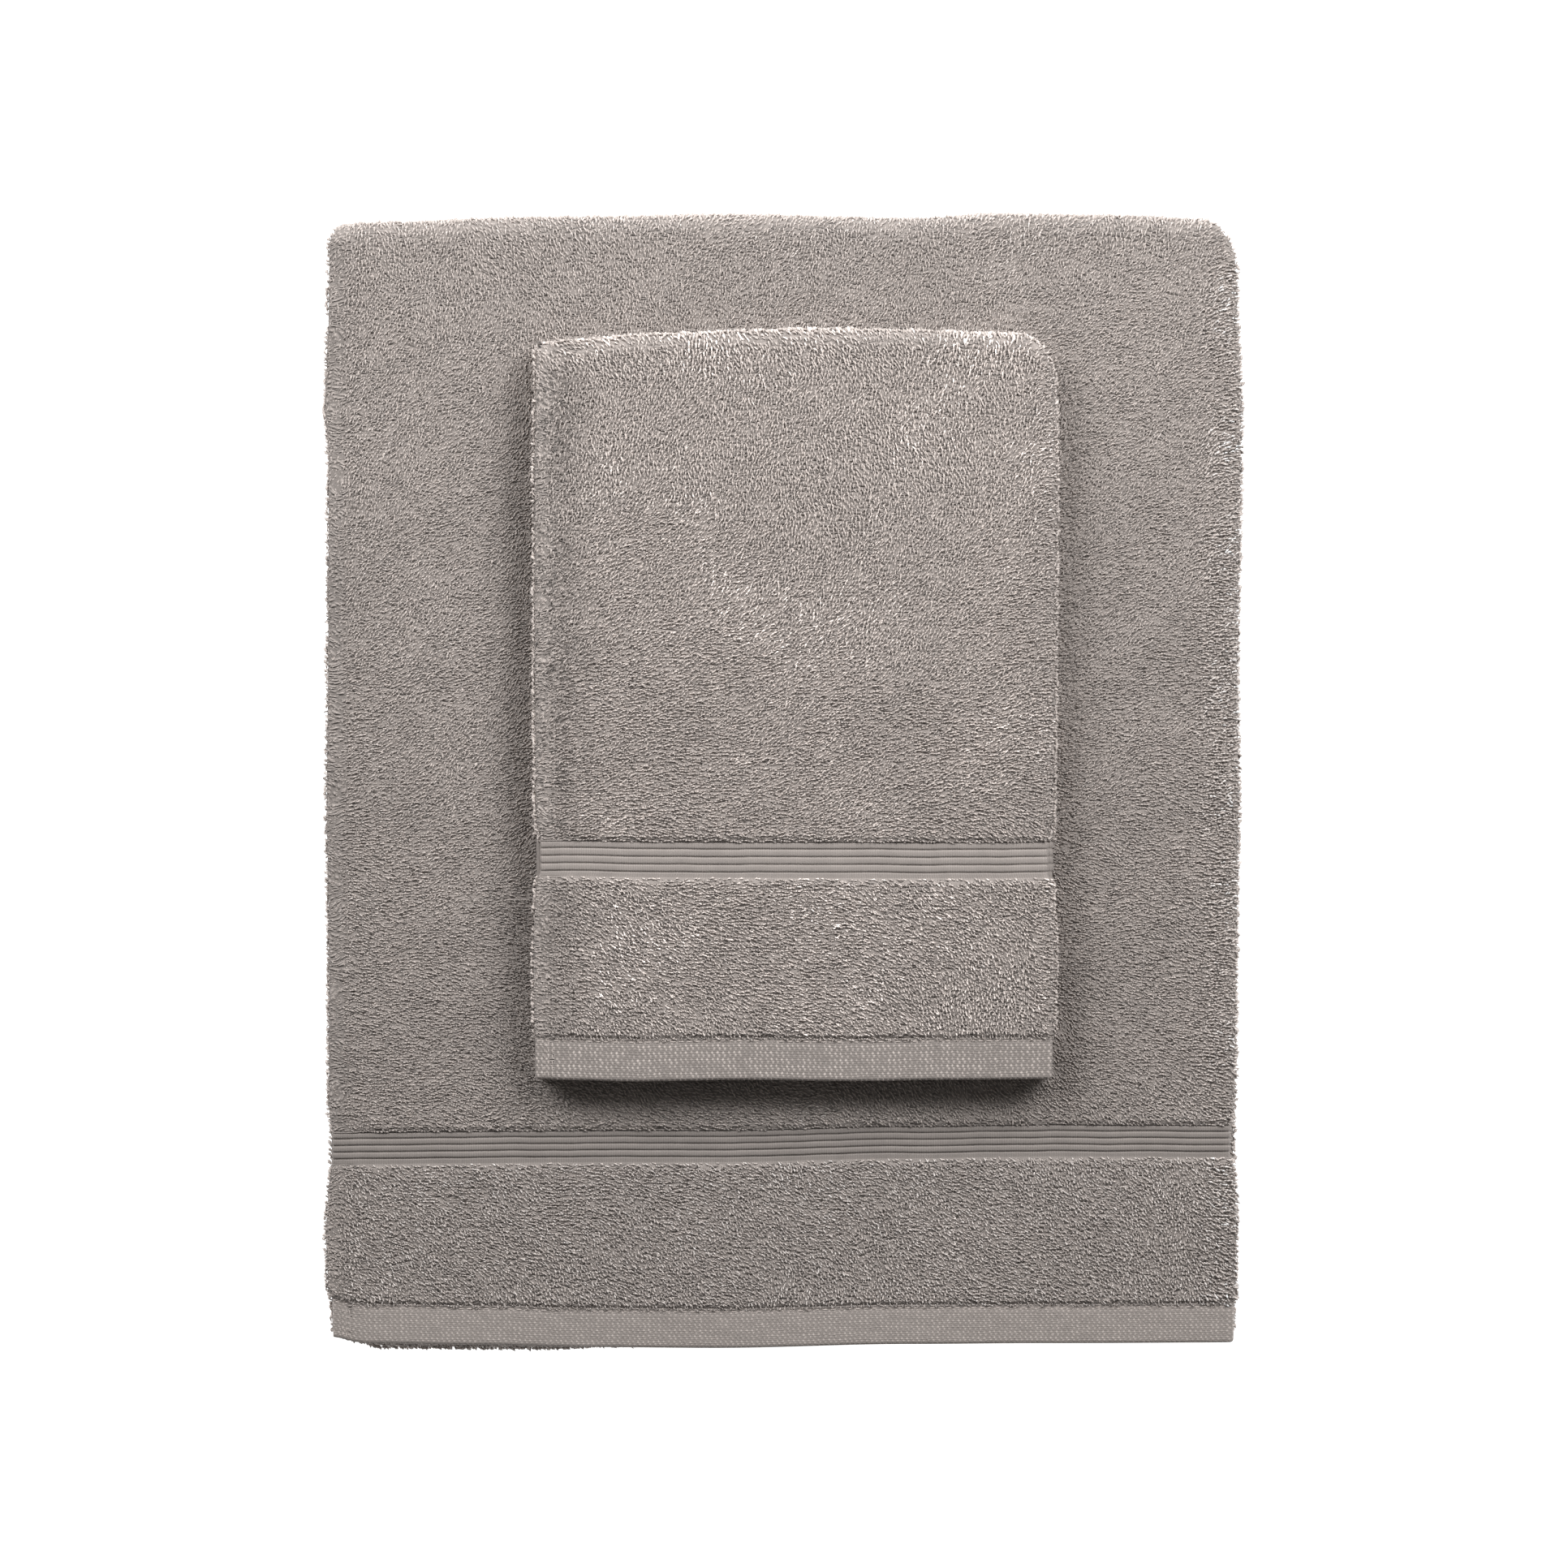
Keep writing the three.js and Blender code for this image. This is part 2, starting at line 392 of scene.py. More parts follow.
def ripple(x, y, wavelength, seed, waves=7):
    # soft unevenness, about -1 to 1
    draw = np.random.default_rng(seed)
    total = 0
    for _ in range(waves):
        turn = draw.uniform(0, math.tau)
        pace = math.tau / (wavelength * draw.uniform(0.7, 1.5))
        total = total + np.sin((x * math.cos(turn) + y * math.sin(turn)) * pace + draw.uniform(0, math.tau))
    return total / math.sqrt(waves) * 0.8


def ease(value, low, high):
    share = np.clip((value - low) / (high - low), 0, 1)
    return share * share * (3 - 2 * share)


bathLook = {
    # (mm from the visible hem's edge, mm inwards) down each long edge
    "left": [(0, 3.4), (14, 3.2), (19, 1.4), (43, 0.7), (62, 1.7), (71, 3.2), (84, 3.2), (92, 1.9),
             (155, 1.8), (211, 1.0), (267, 1.5), (341, 1.8), (360, 0.5), (378, 1.0), (397, 1.7), (430, 2.0),
             (500, 3.0), (640, 1.8), (800, 3.5), (900, 2.2), (1100, 3.0), (1300, 3.4)],
    "right": [(0, 3.2), (14, 3.0), (19, 2.3), (43, 2.1), (62, 2.4), (71, 4.2), (84, 4.2), (92, 2.6),
              (155, 2.2), (211, 1.2), (267, 1.8), (322, 0.6), (360, 0.0), (378, 0.8), (397, 1.8),
              (430, 2.4), (500, 2.4), (640, 1.0), (800, 2.4), (900, 2.8), (1100, 1.5), (1300, 2.4)],
    # (mm across, mm forwards or back)
    "hemEdge": [(-175, 4.4), (-158, 2.0), (-113, 1.4), (-76, 0.5), (-26, 0.2), (48, 1.7), (100, 2.0),
                (175, 2.3)],
    "borderLine": [(-175, -0.9), (-125, -0.4), (-82, 0.0), (-20, 0.1), (42, 1.5), (104, 2.2), (175, 2.0)],
    "backEdge": [(-175, -4.0), (-156, -2.6), (-100, -0.7), (-17, 0.4), (48, -1.0), (85, 0.7), (132, 0.0),
                 (160, -1.4), (175, -2.5)],
    "frontEdge": [(-175, 5.0), (-163, 1.2), (-154, -0.9), (-90, -1.3), (-66, -0.4), (-40, 0.6), (30, 3.0),
                  (175, 3.8)],
    "cornerRight": 18 * mm,
    "cornerLeft": 9 * mm,
    "fuller": 1.2 * mm,  # how far the pile takes the cloth outwards
    "tuftRoom": 0.5 * mm,  # left free for the tufts at the left edge
    "foldSquareness": 0.72,  # 1 is a half circle, less is squarer
    "edgeFall": (11 * mm, 2.8 * mm, 0.6 * mm),  # how wide, how far at the left and at the right
    "waveSeed": 11,
    "swirlSeed": 23,
}
guestLook = {
    "left": [(0, 1.0), (14, 1.0), (19, 0.8), (45, 0.4), (72, 1.2), (80, 3.0), (92, 3.0), (100, 1.4),
             (160, 0.9), (230, 0.8), (285, 1.5), (330, 1.8), (420, 0.8), (570, 1.6)],
    "right": [(0, 2.4), (14, 2.2), (19, 1.2), (45, 0.8), (72, 1.8), (80, 3.8), (92, 3.8), (100, 1.8),
              (160, 1.0), (230, 0.6), (285, 1.6), (330, 1.8), (420, 1.2), (570, 2.2)],
    "hemEdge": [(-95, 0.6), (-60, -0.1), (-20, 0.5), (20, 0.0), (60, 0.5), (105, 0.8)],
    "borderLine": [(-95, 0.6), (-40, 0.0), (10, -0.2), (60, -0.3), (105, 0.0)],
    "backEdge": [(-95, -4.6), (-85, -3.6), (-55, -1.2), (0, 0.6), (40, 0.5), (80, -1.0), (105, -2.6)],
    "frontEdge": [(-95, 1.0), (0, 0.4), (105, 1.2)],
    "cornerRight": 18 * mm,
    "cornerLeft": 5 * mm,
    "fuller": 0.4 * mm,
    "tuftRoom": 0.3 * mm,
    "foldSquareness": 0.9,
    "edgeFall": (12 * mm, 2.2 * mm, 0.7 * mm),
    "waveSeed": 37,
    "swirlSeed": 41,
}

cloth = {
    "terry": 2.0 * mm,  # ground under the loops
    "border": 1.5 * mm,
    "hem": 2.2 * mm,
    "core": 0.7 * mm,  # the cloth inside the border and hem skins
    "sideHem": 2.8 * mm,
    "flatSide": 2.2 * mm,  # the side hem where it crosses the border and the end hem
    "flatSag": 0.62,  # the flat weaves lie closer to the panel's middle
    "sideHemRise": 1.4 * mm,  # the border's climb over the side hem
    "hemCorner": 0.5 * mm,
    "hemSeam": 0.35 * mm,
    "stitchGroove": 0.9 * mm,
    "overlap": 0.5 * mm,  # of a hem on the terry behind it
}
lie = {  # reaches are shares of the towel's depth
    "backReach": 0.22,
    "frontReach": 0.15,
    "hemReach": (0.03, 0.17),
    "borderReach": (0.24, 0.55),
    "lowerEdge": (1.2, 1.0, 31),  # mm inwards, mm to and fro, and the pace of it, on the lower layer
    "broadWave": (95 * mm, 0.45 * mm),  # length and height
    "fineWave": (38 * mm, 0.16 * mm),
}
tiny = 1e-12


def unit(vectors):
    return vectors / (np.linalg.norm(vectors, axis=-1, keepdims=True) + tiny)


def measureTowel(name, top, bottomRun):
    # sizes of a folded towel, from its CAD nodes
    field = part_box(top + "_terry_field")
    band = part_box(top + "_terry_band")
    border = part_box(top + "_border")
    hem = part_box(top + "_end_hem")
    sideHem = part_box(top + "_side_hem_upper")
    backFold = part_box(name + "_back_fold")
    layer = (field[1][2] - field[0][2]) / 2
    return {
        "name": name,
        "left": sideHem[0][0],
        "right": field[1][0],
        "middle": (sideHem[0][0] + field[1][0]) / 2,
        "front": hem[0][1],
        "back": backFold[1][1],
        "layer": layer,
        "foldY": field[1][1],
        "hemDepth": hem[1][1] - hem[0][1],
        "bandEnd": band[1][1] - hem[0][1],
        "borderEnd": border[1][1] - hem[0][1],
        "sideHem": sideHem[1][0] - sideHem[0][0],
        "lowerZ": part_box(bottomRun)[0][2] + layer,
        "upperZ": (field[0][2] + field[1][2]) / 2,
    }


def straightRun(fromY, toY, z, out):
    return {"length": abs(toY - fromY), "from": fromY, "way": out, "z": z, "out": out}


def foldRun(axisY, fromZ, toZ, side):
    # a fold at the back (side 1, going down) or at the front (side -1, going up)
    radius, axisZ = abs(fromZ - toZ) / 2, (fromZ + toZ) / 2
    return {"radius": radius, "axisY": axisY, "axisZ": axisZ, "side": side, "first": side}


def layOut(towel, runs):
    # the crosswise path: straight runs and folds, counted from the visible hem
    towel["runs"] = []
    start = 0.0
    for run in runs:
        length = run["length"] if "length" in run else math.pi * run["radius"]
        towel["runs"].append({**run, "start": start, "end": start + length})
        start += length
    towel["length"] = start
    towel["straight"] = towel["right"] - towel["layer"] - towel["left"]
    towel["turn"] = math.pi * towel["layer"] / 2
    towel["girth"] = 2 * towel["straight"] + towel["turn"]


def foldAngle(share, square):
    # equal steps along the outline of a fold that is squarer than a half circle
    angles = np.linspace(0, math.pi, 4001)
    acrossFold = np.sin(angles) ** square
    upFold = np.sign(np.cos(angles)) * np.abs(np.cos(angles)) ** square
    lengths = np.concatenate([[0], np.cumsum(np.hypot(np.diff(acrossFold), np.diff(upFold)))])
    return np.interp(np.clip(share, 0, 1) * lengths[-1], lengths, angles)


def alongPath(towel, s):
    # middle line of the doubled cloth: y, z, and the way out of the fold
    s = np.asarray(s, float)
    y, z, ny, nz = (np.zeros_like(s) for _ in range(4))
    for index, run in enumerate(towel["runs"]):
        inside = s >= run["start"] if index else np.ones_like(s, bool)
        reach = s - run["start"]
        if "length" in run:
            newY = run["from"] + run["way"] * reach
            newZ = np.full_like(s, run["z"])
            newNy, newNz = np.zeros_like(s), np.full_like(s, run["out"])
        else:
            square = towel["look"]["foldSquareness"]
            angle = foldAngle(reach / (run["end"] - run["start"]), square)
            newNy = run["side"] * np.sin(angle)
            newNz = run["first"] * np.cos(angle)
            newY = run["axisY"] + run["radius"] * run["side"] * np.sin(angle) ** square
            newZ = run["axisZ"] + run["radius"] * np.sign(newNz) * np.abs(newNz) ** square
        for old, new in ((y, newY), (z, newZ), (ny, newNy), (nz, newNz)):
            old[inside] = new[inside]
    return y, z, ny, nz


def flatShare(towel, s):
    # 1 in the border and hem of either end, 0 in the terry
    share = np.zeros_like(s)
    for place in (s, towel["length"] - s):
        hem = 1 - ease(place, towel["hemDepth"] - 0.6 * mm, towel["hemDepth"] + 1.2 * mm)
        border = ease(place, towel["bandEnd"] - 1.2 * mm, towel["bandEnd"] + 0.6 * mm)
        border = border * (1 - ease(place, towel["borderEnd"] - 0.6 * mm, towel["borderEnd"] + 1.2 * mm))
        share = np.maximum(share, np.maximum(hem, border))
    return share


def layCloth(towel, s, u):
    # place of the cloth's middle surface: s along the towel, u across it from the lower left edge
    s, u = np.broadcast_arrays(np.asarray(s, float), np.asarray(u, float))
    look, layer, straight = towel["look"], towel["layer"], towel["straight"]
    half = layer / 2
    angle = np.clip((u - straight) / half, 0, math.pi)
    foldX = towel["right"] - layer
    x = np.where(u < straight, towel["left"] + u, foldX + half * np.sin(angle))
    x = np.where(u > straight + towel["turn"], foldX - (u - straight - towel["turn"]), x)
    height = -half * np.cos(angle) * (1 - (1 - cloth["flatSag"]) * flatShare(towel, s))
    y, z, ny, nz = alongPath(towel, s)

    # long edges, with round corners at the folds
    leftIn = curve(look["left"], s) - look["fuller"] + look["tuftRoom"]
    rightIn = curve(look["right"], s) - look["fuller"]
    lowerLayer = 1 - ease(u, straight * 0.2, straight * 0.9)
    inwards, swing, pace = lie["lowerEdge"]
    leftIn = leftIn + lowerLayer * (inwards + swing * np.sin(s * pace)) * mm
    toBack = towel["back"] - (y + height * ny)
    for corner, edge in (("cornerRight", "right"), ("cornerLeft", "left")):
        radius = look[corner]
        reach = np.clip(1 - toBack / radius, 0, 1)
        inset = radius * (1 - np.sqrt(np.clip(1 - reach * reach, 0, 1)))
        if edge == "right":
            rightIn = rightIn + inset
        else:
            leftIn = leftIn + inset
    width = towel["right"] - towel["left"]
    across = (x - towel["left"]) / width
    x = towel["left"] + leftIn + across * (width - leftIn - rightIn)

    # ends and crosswise folds run a little out of true
    y = y + height * ny
    z = z + height * nz
    depth = towel["back"] - towel["front"]
    nearBack = ease(y, towel["back"] - lie["backReach"] * depth, towel["back"])
    y = y + (curve(look["backEdge"], x - towel["middle"]) + look["fuller"]) * nearBack
    onTop = s < towel["runs"][0]["end"]
    fromHem = np.where(onTop, s, 0)
    hemPart = 1 - ease(fromHem / depth, *lie["hemReach"])
    borderPart = (1 - ease(fromHem / depth, *lie["borderReach"])) * (1 - hemPart)
    shift = curve(look["hemEdge"], x - towel["middle"]) * hemPart
    shift = shift + curve(look["borderLine"], x - towel["middle"]) * borderPart
    nearFront = 1 - ease(y, towel["front"], towel["front"] + lie["frontReach"] * depth)
    below = curve(look["frontEdge"], x - towel["middle"]) * nearFront
    y = y + np.where(onTop, shift, below)

    # the stack is not quite level, and a little fuller in its middle
    rise = (z - stackBottom) / (stackTop - stackBottom)
    fallWidth, fallLeft, fallRight = look["edgeFall"]
    leftDrop = 1 - ease(across * width, 0, fallWidth)
    rightDrop = 1 - ease((1 - across) * width, 0, fallWidth)
    z = z - rise * (leftDrop * fallLeft + rightDrop * fallRight)
    for seed, (wavelength, size) in enumerate((lie["broadWave"], lie["fineWave"]), look["waveSeed"]):
        z = z + rise * ripple(x, y, wavelength, seed) * size
    return np.stack([x, y, z], -1)


def clothFrame(towel, s, u):
    # place, outward normal and the two directions along the cloth
    step = 0.15 * mm
    alongS = unit(layCloth(towel, s + step, u) - layCloth(towel, s - step, u))
    alongU = unit(layCloth(towel, s, u + step) - layCloth(towel, s, u - step))
    return layCloth(towel, s, u), unit(np.cross(alongS, alongU)), alongS, alongU


def edgeDistance(towel, u):
    return np.minimum(u, towel["girth"] - u)


def roundedEnd(distance, thickness):
    # thins a cloth to a round edge
    reach = np.clip(1 - distance / (thickness / 2), 0, 1)
    return np.sqrt(np.clip(1 - reach * reach, 0.0004, 1))


def groundThickness(towel, s, u):
    flat = flatShare(towel, s)
    edge = edgeDistance(towel, u)
    thick = cloth["terry"] * (1 - flat) + cloth["core"] * flat
    ends = np.minimum(s, towel["length"] - s)
    return thick * roundedEnd(edge, cloth["terry"]) * roundedEnd(ends, cloth["core"])


def sideHemThickness(towel, s, u):
    # the folded and sewn long edge, with a groove where the seam pulls it in
    flat = flatShare(towel, s)
    edge = edgeDistance(towel, u)
    groove = np.exp(-(((edge - towel["sideHem"] + 1.2 * mm) / (0.6 * mm)) ** 2)) * cloth["stitchGroove"]
    thick = (cloth["sideHem"] - groove) * (1 - flat) + cloth["flatSide"] * flat
    back = roundedEnd(towel["sideHem"] + cloth["overlap"] - edge, 1.0 * mm)
    ends = np.minimum(s, towel["length"] - s) - 0.3 * mm
    return thick * roundedEnd(edge, cloth["sideHem"]) * back * roundedEnd(ends, cloth["border"])


def lines(stops):
    # grid lines through stops of (place, cell size up to the next stop)
    made = [stops[0][0]]
    for (low, cell), (high, _) in zip(stops, stops[1:]):
        count = max(1, round((high - low) / cell))
        made.extend(np.linspace(low, high, count + 1)[1:])
    return np.array(made)


def meshFromFaces(name, points, quads):
    mesh = bpy.data.meshes.new(name)
    mesh.vertices.add(len(points))
    mesh.vertices.foreach_set("co", np.ascontiguousarray(points, np.float32).ravel())
    mesh.loops.add(quads.size)
    mesh.loops.foreach_set("vertex_index", quads.ravel().astype(np.int32))
    mesh.polygons.add(len(quads))
    mesh.polygons.foreach_set("loop_start", np.arange(len(quads), dtype=np.int32) * 4)
    mesh.polygons.foreach_set("use_smooth", np.ones(len(quads), bool))
    mesh.update(calc_edges=True)
    mesh.validate()
    piece = bpy.data.objects.new(name, mesh)
    scene.collection.objects.link(piece)
    return piece


def chartSheet(piece, s, u, outerFaces, folds):
    # a flat layout of its own: the outer face cut into rows, the rest in one narrow row above them
    corner = np.empty(len(piece.data.loops), np.int32)
    piece.data.loops.foreach_get("vertex_index", corner)
    corner = corner.reshape(-1, 4)
    across = (u.ravel() - u.min()) / (u.max() - u.min())
    along = (s.ravel() - s.min()) / (s.max() - s.min())
    across, along = (np.concatenate([part, part])[corner] for part in (across, along))
    row = np.minimum((across.mean(-1) * folds).astype(int), folds - 1)[:, None]
    outside = (np.arange(len(corner)) < outerFaces)[:, None]
    right = np.where(outside, across * folds - row, across)
    up = np.where(outside, (row + 0.05 + 0.9 * along) / folds * 0.8, 0.82 + 0.16 * along)
    chart = piece.data.uv_layers.new(name="OFBake")
    chart.data.foreach_set("uv", np.stack([right, up], -1).astype(np.float32).ravel())


def makeSheet(name, towel, sLines, uLines, thickness, relief=None, folds=1):
    # a closed cloth: both faces of the grid, joined round its edges
    s, u = np.meshgrid(sLines, uLines, indexing="ij")
    place, normal, _, _ = clothFrame(towel, s, u)
    half = thickness(towel, s, u)[..., None] / 2
    outer = place + normal * half
    if relief is not None:
        outer = outer + normal * relief(towel, s, u)[..., None]
    inner = place - normal * half
    rows, columns = s.shape
    points = np.concatenate([outer.reshape(-1, 3), inner.reshape(-1, 3)])
    index = np.arange(rows * columns).reshape(rows, columns)
    a, b, c, d = index[:-1, :-1], index[:-1, 1:], index[1:, 1:], index[1:, :-1]
    top = np.stack([a, d, c, b], -1).reshape(-1, 4)
    under = np.stack([a, b, c, d], -1).reshape(-1, 4) + rows * columns
    rim = np.concatenate([index[0, :], index[1:, -1], index[-1, -2::-1], index[-2:0:-1, 0]])
    after = np.roll(rim, -1)
    walls = np.stack([rim, after, after + rows * columns, rim + rows * columns], -1)
    piece = meshFromFaces(name, points, np.concatenate([top, under, walls]))
    grid = np.stack([u.ravel(), s.ravel()], -1) / mm
    grid = np.concatenate([grid, grid])
    chart = piece.data.uv_layers.new(name="clothMm")
    corner = np.empty(len(piece.data.loops), np.int32)
    piece.data.loops.foreach_get("vertex_index", corner)
    chart.data.foreach_set("uv", grid[corner].astype(np.float32).ravel())
    chartSheet(piece, s, u, len(top), folds)
    return piece


stackBottom = cadBox[0][2]
stackTop = cadBox[1][2]

bath = measureTowel("bath", "bath_flap", "bath_middle_panel")
bath["look"] = bathLook
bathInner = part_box("bath_inner_terry_field")
innerZ = (bathInner[0][2] + bathInner[1][2]) / 2
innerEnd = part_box("bath_inner_end_hem")[1][1]
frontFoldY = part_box("bath_front_fold")[1][1]
layOut(bath, [
    straightRun(bath["front"], bath["foldY"], bath["upperZ"], 1),
    foldRun(bath["foldY"], bath["upperZ"], bath["lowerZ"], 1),
    straightRun(bath["foldY"], frontFoldY, bath["lowerZ"], -1),
    foldRun(frontFoldY, bath["lowerZ"], innerZ, -1),
    straightRun(frontFoldY, innerEnd, innerZ, 1),
])

guest = measureTowel("guest", "guest_upper", "guest_lower_terry_field")
guest["look"] = guestLook
layOut(guest, [
    straightRun(guest["front"], guest["foldY"], guest["upperZ"], 1),
    foldRun(guest["foldY"], guest["upperZ"], guest["lowerZ"], 1),
    straightRun(guest["foldY"], guest["front"], guest["lowerZ"], -1),
])
for towel in (bath, guest):
    print(towel["name"], "flat size", round(towel["girth"], 4), "x", round(towel["length"], 4))


def foldWeight(towel, s):
    # 1 on the top panel, 0 below, shared evenly round the back fold
    fold = towel["runs"][1]
    return 1 - np.clip((s - fold["start"]) / (fold["end"] - fold["start"]), 0, 1)


def bendAtBackFold(piece, towel, lowerBody, upperBody, weights):
    fold = towel["runs"][1]
    low = (0, fold["axisY"], fold["axisZ"] - fold["radius"])
    high = (0, fold["axisY"], fold["axisZ"] + fold["radius"])
    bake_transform(piece)


def widthLines(towel, fine, coarse):
    # upper layer fine, lower layer coarse, closer at the edges and the lengthwise fold
    girth, straight, turn, side = (towel[k] for k in ("girth", "straight", "turn", "sideHem"))
    edge = [0, 0.15 * mm, 0.5 * mm, 1.0 * mm, 1.5 * mm]
    inner = lines([(1.5 * mm, 1.5 * mm), (side - 1.5 * mm, 0.75 * mm), (side + 1.5 * mm, coarse),
                   (straight - 3 * mm, 1.5 * mm), (straight, turn / 8), (straight + turn, 1.5 * mm),
                   (straight + turn + 3 * mm, fine), (girth - side - 1.5 * mm, 0.75 * mm),
                   (girth - side + 1.5 * mm, 1.5 * mm), (girth - 1.5 * mm, 1)])
    return np.concatenate([edge[:-1], inner, girth - np.array(edge[:-1])[::-1]])


def lengthLines(towel, fine, coarse):
    stops = [(0, 0.3 * mm), (0.6 * mm, 3 * mm)]
    length = towel["length"]
    zones = [towel["hemDepth"], towel["bandEnd"], towel["borderEnd"]]
    for zone in zones:
        stops += [(zone - 3 * mm, 0.8 * mm), (zone + 3 * mm, fine)]
    for run in towel["runs"][1:-1]:
        if "radius" in run:
            stops += [(run["start"] - 3 * mm, run["radius"] / 7), (run["end"] + 3 * mm, coarse)]
    for zone in reversed(zones):
        stops += [(length - zone - 3 * mm, 0.8 * mm), (length - zone + 3 * mm, coarse)]
    stops += [(length - 0.6 * mm, 0.3 * mm), (length, 1)]
    return lines(stops)


def underGuest(towel, s, u):
    # where the guest towel hides the loops
    place = layCloth(towel, s, u)
    margin = 9 * mm
    covered = (place[..., 0] > guest["left"] + margin) & (place[..., 0] < guest["right"] - margin)
    return covered & (place[..., 1] > guest["front"] + margin) & (place[..., 1] < guest["back"] - margin)


def makeTowelCloth(towel, lowerBody, upperBody, finish):
    sLines = lengthLines(towel, 6.5 * mm, 9 * mm)
    uLines = widthLines(towel, 6.5 * mm, 10 * mm)
    piece = makeSheet(towel["name"] + "Cloth", towel, sLines, uLines, groundThickness)
    s = np.repeat(sLines, len(uLines))
    weights = foldWeight(towel, np.concatenate([s, s]))
    bendAtBackFold(piece, towel, lowerBody, upperBody, weights)
    # the ground gets painted shade between the loops, and is plain where no loops are planted
    s, u = np.meshgrid(sLines, uLines, indexing="ij")
    upper = u > towel["straight"] - 1 * mm
    onTop = s < towel["runs"][1]["end"]
    side = u < towel["straight"] + towel["turn"] + 1 * mm
    piled = np.where(upper & (onTop | side), 1.0, 0.0)
    if towel["pileInside"]:
        piled[~upper] = 0.5
    else:
        piled[upper & onTop & underGuest(towel, s, u)] = 0.5
    piled = piled.ravel()
    mark = piece.data.attributes.new("piled", "FLOAT", "POINT")
    mark.data.foreach_set("value", np.concatenate([piled, piled * 0]).astype(np.float32))
    piece.data.materials.append(finish)
    return piece


def hemThickness(towel, s, u):
    # thicker at its ends, pulled in along the seam
    edge = edgeDistance(towel, u)
    end = np.minimum(s, towel["length"] - s)
    side = 1 - ease(edge, towel["sideHem"] * 0.5, towel["sideHem"] * 0.75)
    seam = np.exp(-(((end - towel["hemDepth"] + stitch["inset"]) / (0.7 * mm)) ** 2)) * cloth["hemSeam"]
    thick = cloth["hem"] + side * cloth["hemCorner"] - seam
    back = roundedEnd(towel["hemDepth"] + cloth["overlap"] - end, 1.2 * mm)
    return thick * roundedEnd(edge, cloth["hem"]) * roundedEnd(end, cloth["hem"]) * back


def hemRelief(towel, s, u):
    # the woven rows and the pull of the seam
    return ripple(u, s, 9 * mm, 5) * 0.06 * mm + ripple(u, s, 2.4 * mm, 6) * 0.03 * mm


def makeHem(name, towel, nearEnd, body, finish):
    depth = towel["hemDepth"] + cloth["overlap"]
    ends = [0, 0.12 * mm, 0.4 * mm, 0.8 * mm]
    reach = np.concatenate([ends, lines([(1.2 * mm, 0.75 * mm), (depth - 0.8 * mm, 0.4 * mm), (depth, 1)])])
    sLines = reach if nearEnd else towel["length"] - reach[::-1]
    cells = (1.1 * mm, 6 * mm) if nearEnd else (4 * mm, 6 * mm)
    piece = makeSheet(name, towel, sLines, widthLines(towel, *cells), hemThickness, hemRelief, 8)
    piece.data.materials.append(finish)
    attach(piece, body)
    return piece


ribs = {
    "crownHeight": 0.30 * mm,
    "grooveDepth": 0.42 * mm,
    "grooveWidth": 0.30 * mm,
    "inset": 0.2 * mm,  # the last groove, in from the terry
}


def borderThickness(towel, s, u):
    # a thin weave that climbs over the side hems
    edge = edgeDistance(towel, u)
    end = np.minimum(s, towel["length"] - s)
    low, high = towel["bandEnd"] - 0.8 * mm, towel["borderEnd"] + 0.8 * mm
    ends = roundedEnd(np.minimum(end - low, high - end), 1.0 * mm)
    overSideHem = 1 - ease(edge, towel["sideHem"] + 0.4 * mm, towel["sideHem"] + 3 * mm)
    thick = cloth["border"] + overSideHem * cloth["sideHemRise"]
    return thick * roundedEnd(edge, cloth["border"]) * ends


def borderRelief(towel, s, u):
    # rounded ribs between narrow grooves, a flat strip in front of them
    end = np.minimum(s, towel["length"] - s)
    wander = ripple(u, s * 0, 34 * mm, 8) * 0.12 * mm + ripple(u, s * 0, 11 * mm, 9) * 0.05 * mm
    place = (end - towel["borderEnd"] + ribs["inset"] + wander) / towel["ribPitch"]
    nearest = np.clip(np.round(place), -towel["ribs"], 0)
    off = np.abs(place - nearest) * towel["ribPitch"]
    groove = np.exp(-((off / ribs["grooveWidth"]) ** 2))
    inRibs = ease(place, -towel["ribs"] - 0.3, -towel["ribs"] + 0.2) * (1 - ease(place, 0.2, 0.5))
    crown = np.sqrt(np.clip(1 - (2 * off / towel["ribPitch"] - 1) ** 2, 0, 1)) * inRibs
    weaveHeight = ripple(u, s, 5 * mm, 10) * 0.03 * mm
    return crown * ribs["crownHeight"] - groove * ribs["grooveDepth"] + weaveHeight


def makeBorder(name, towel, nearEnd, body, finish):
    cell = 0.24 * mm if nearEnd else 0.4 * mm
    reach = lines([(towel["bandEnd"] - 0.8 * mm, cell), (towel["borderEnd"] + 0.8 * mm, 1)])
    sLines = reach if nearEnd else towel["length"] - reach[::-1]
    cells = (1.7 * mm, 9 * mm) if nearEnd else (4 * mm, 9 * mm)
    piece = makeSheet(name, towel, sLines, widthLines(towel, *cells), borderThickness, borderRelief, 8)
    piece.data.materials.append(finish)
    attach(piece, body)
    return piece


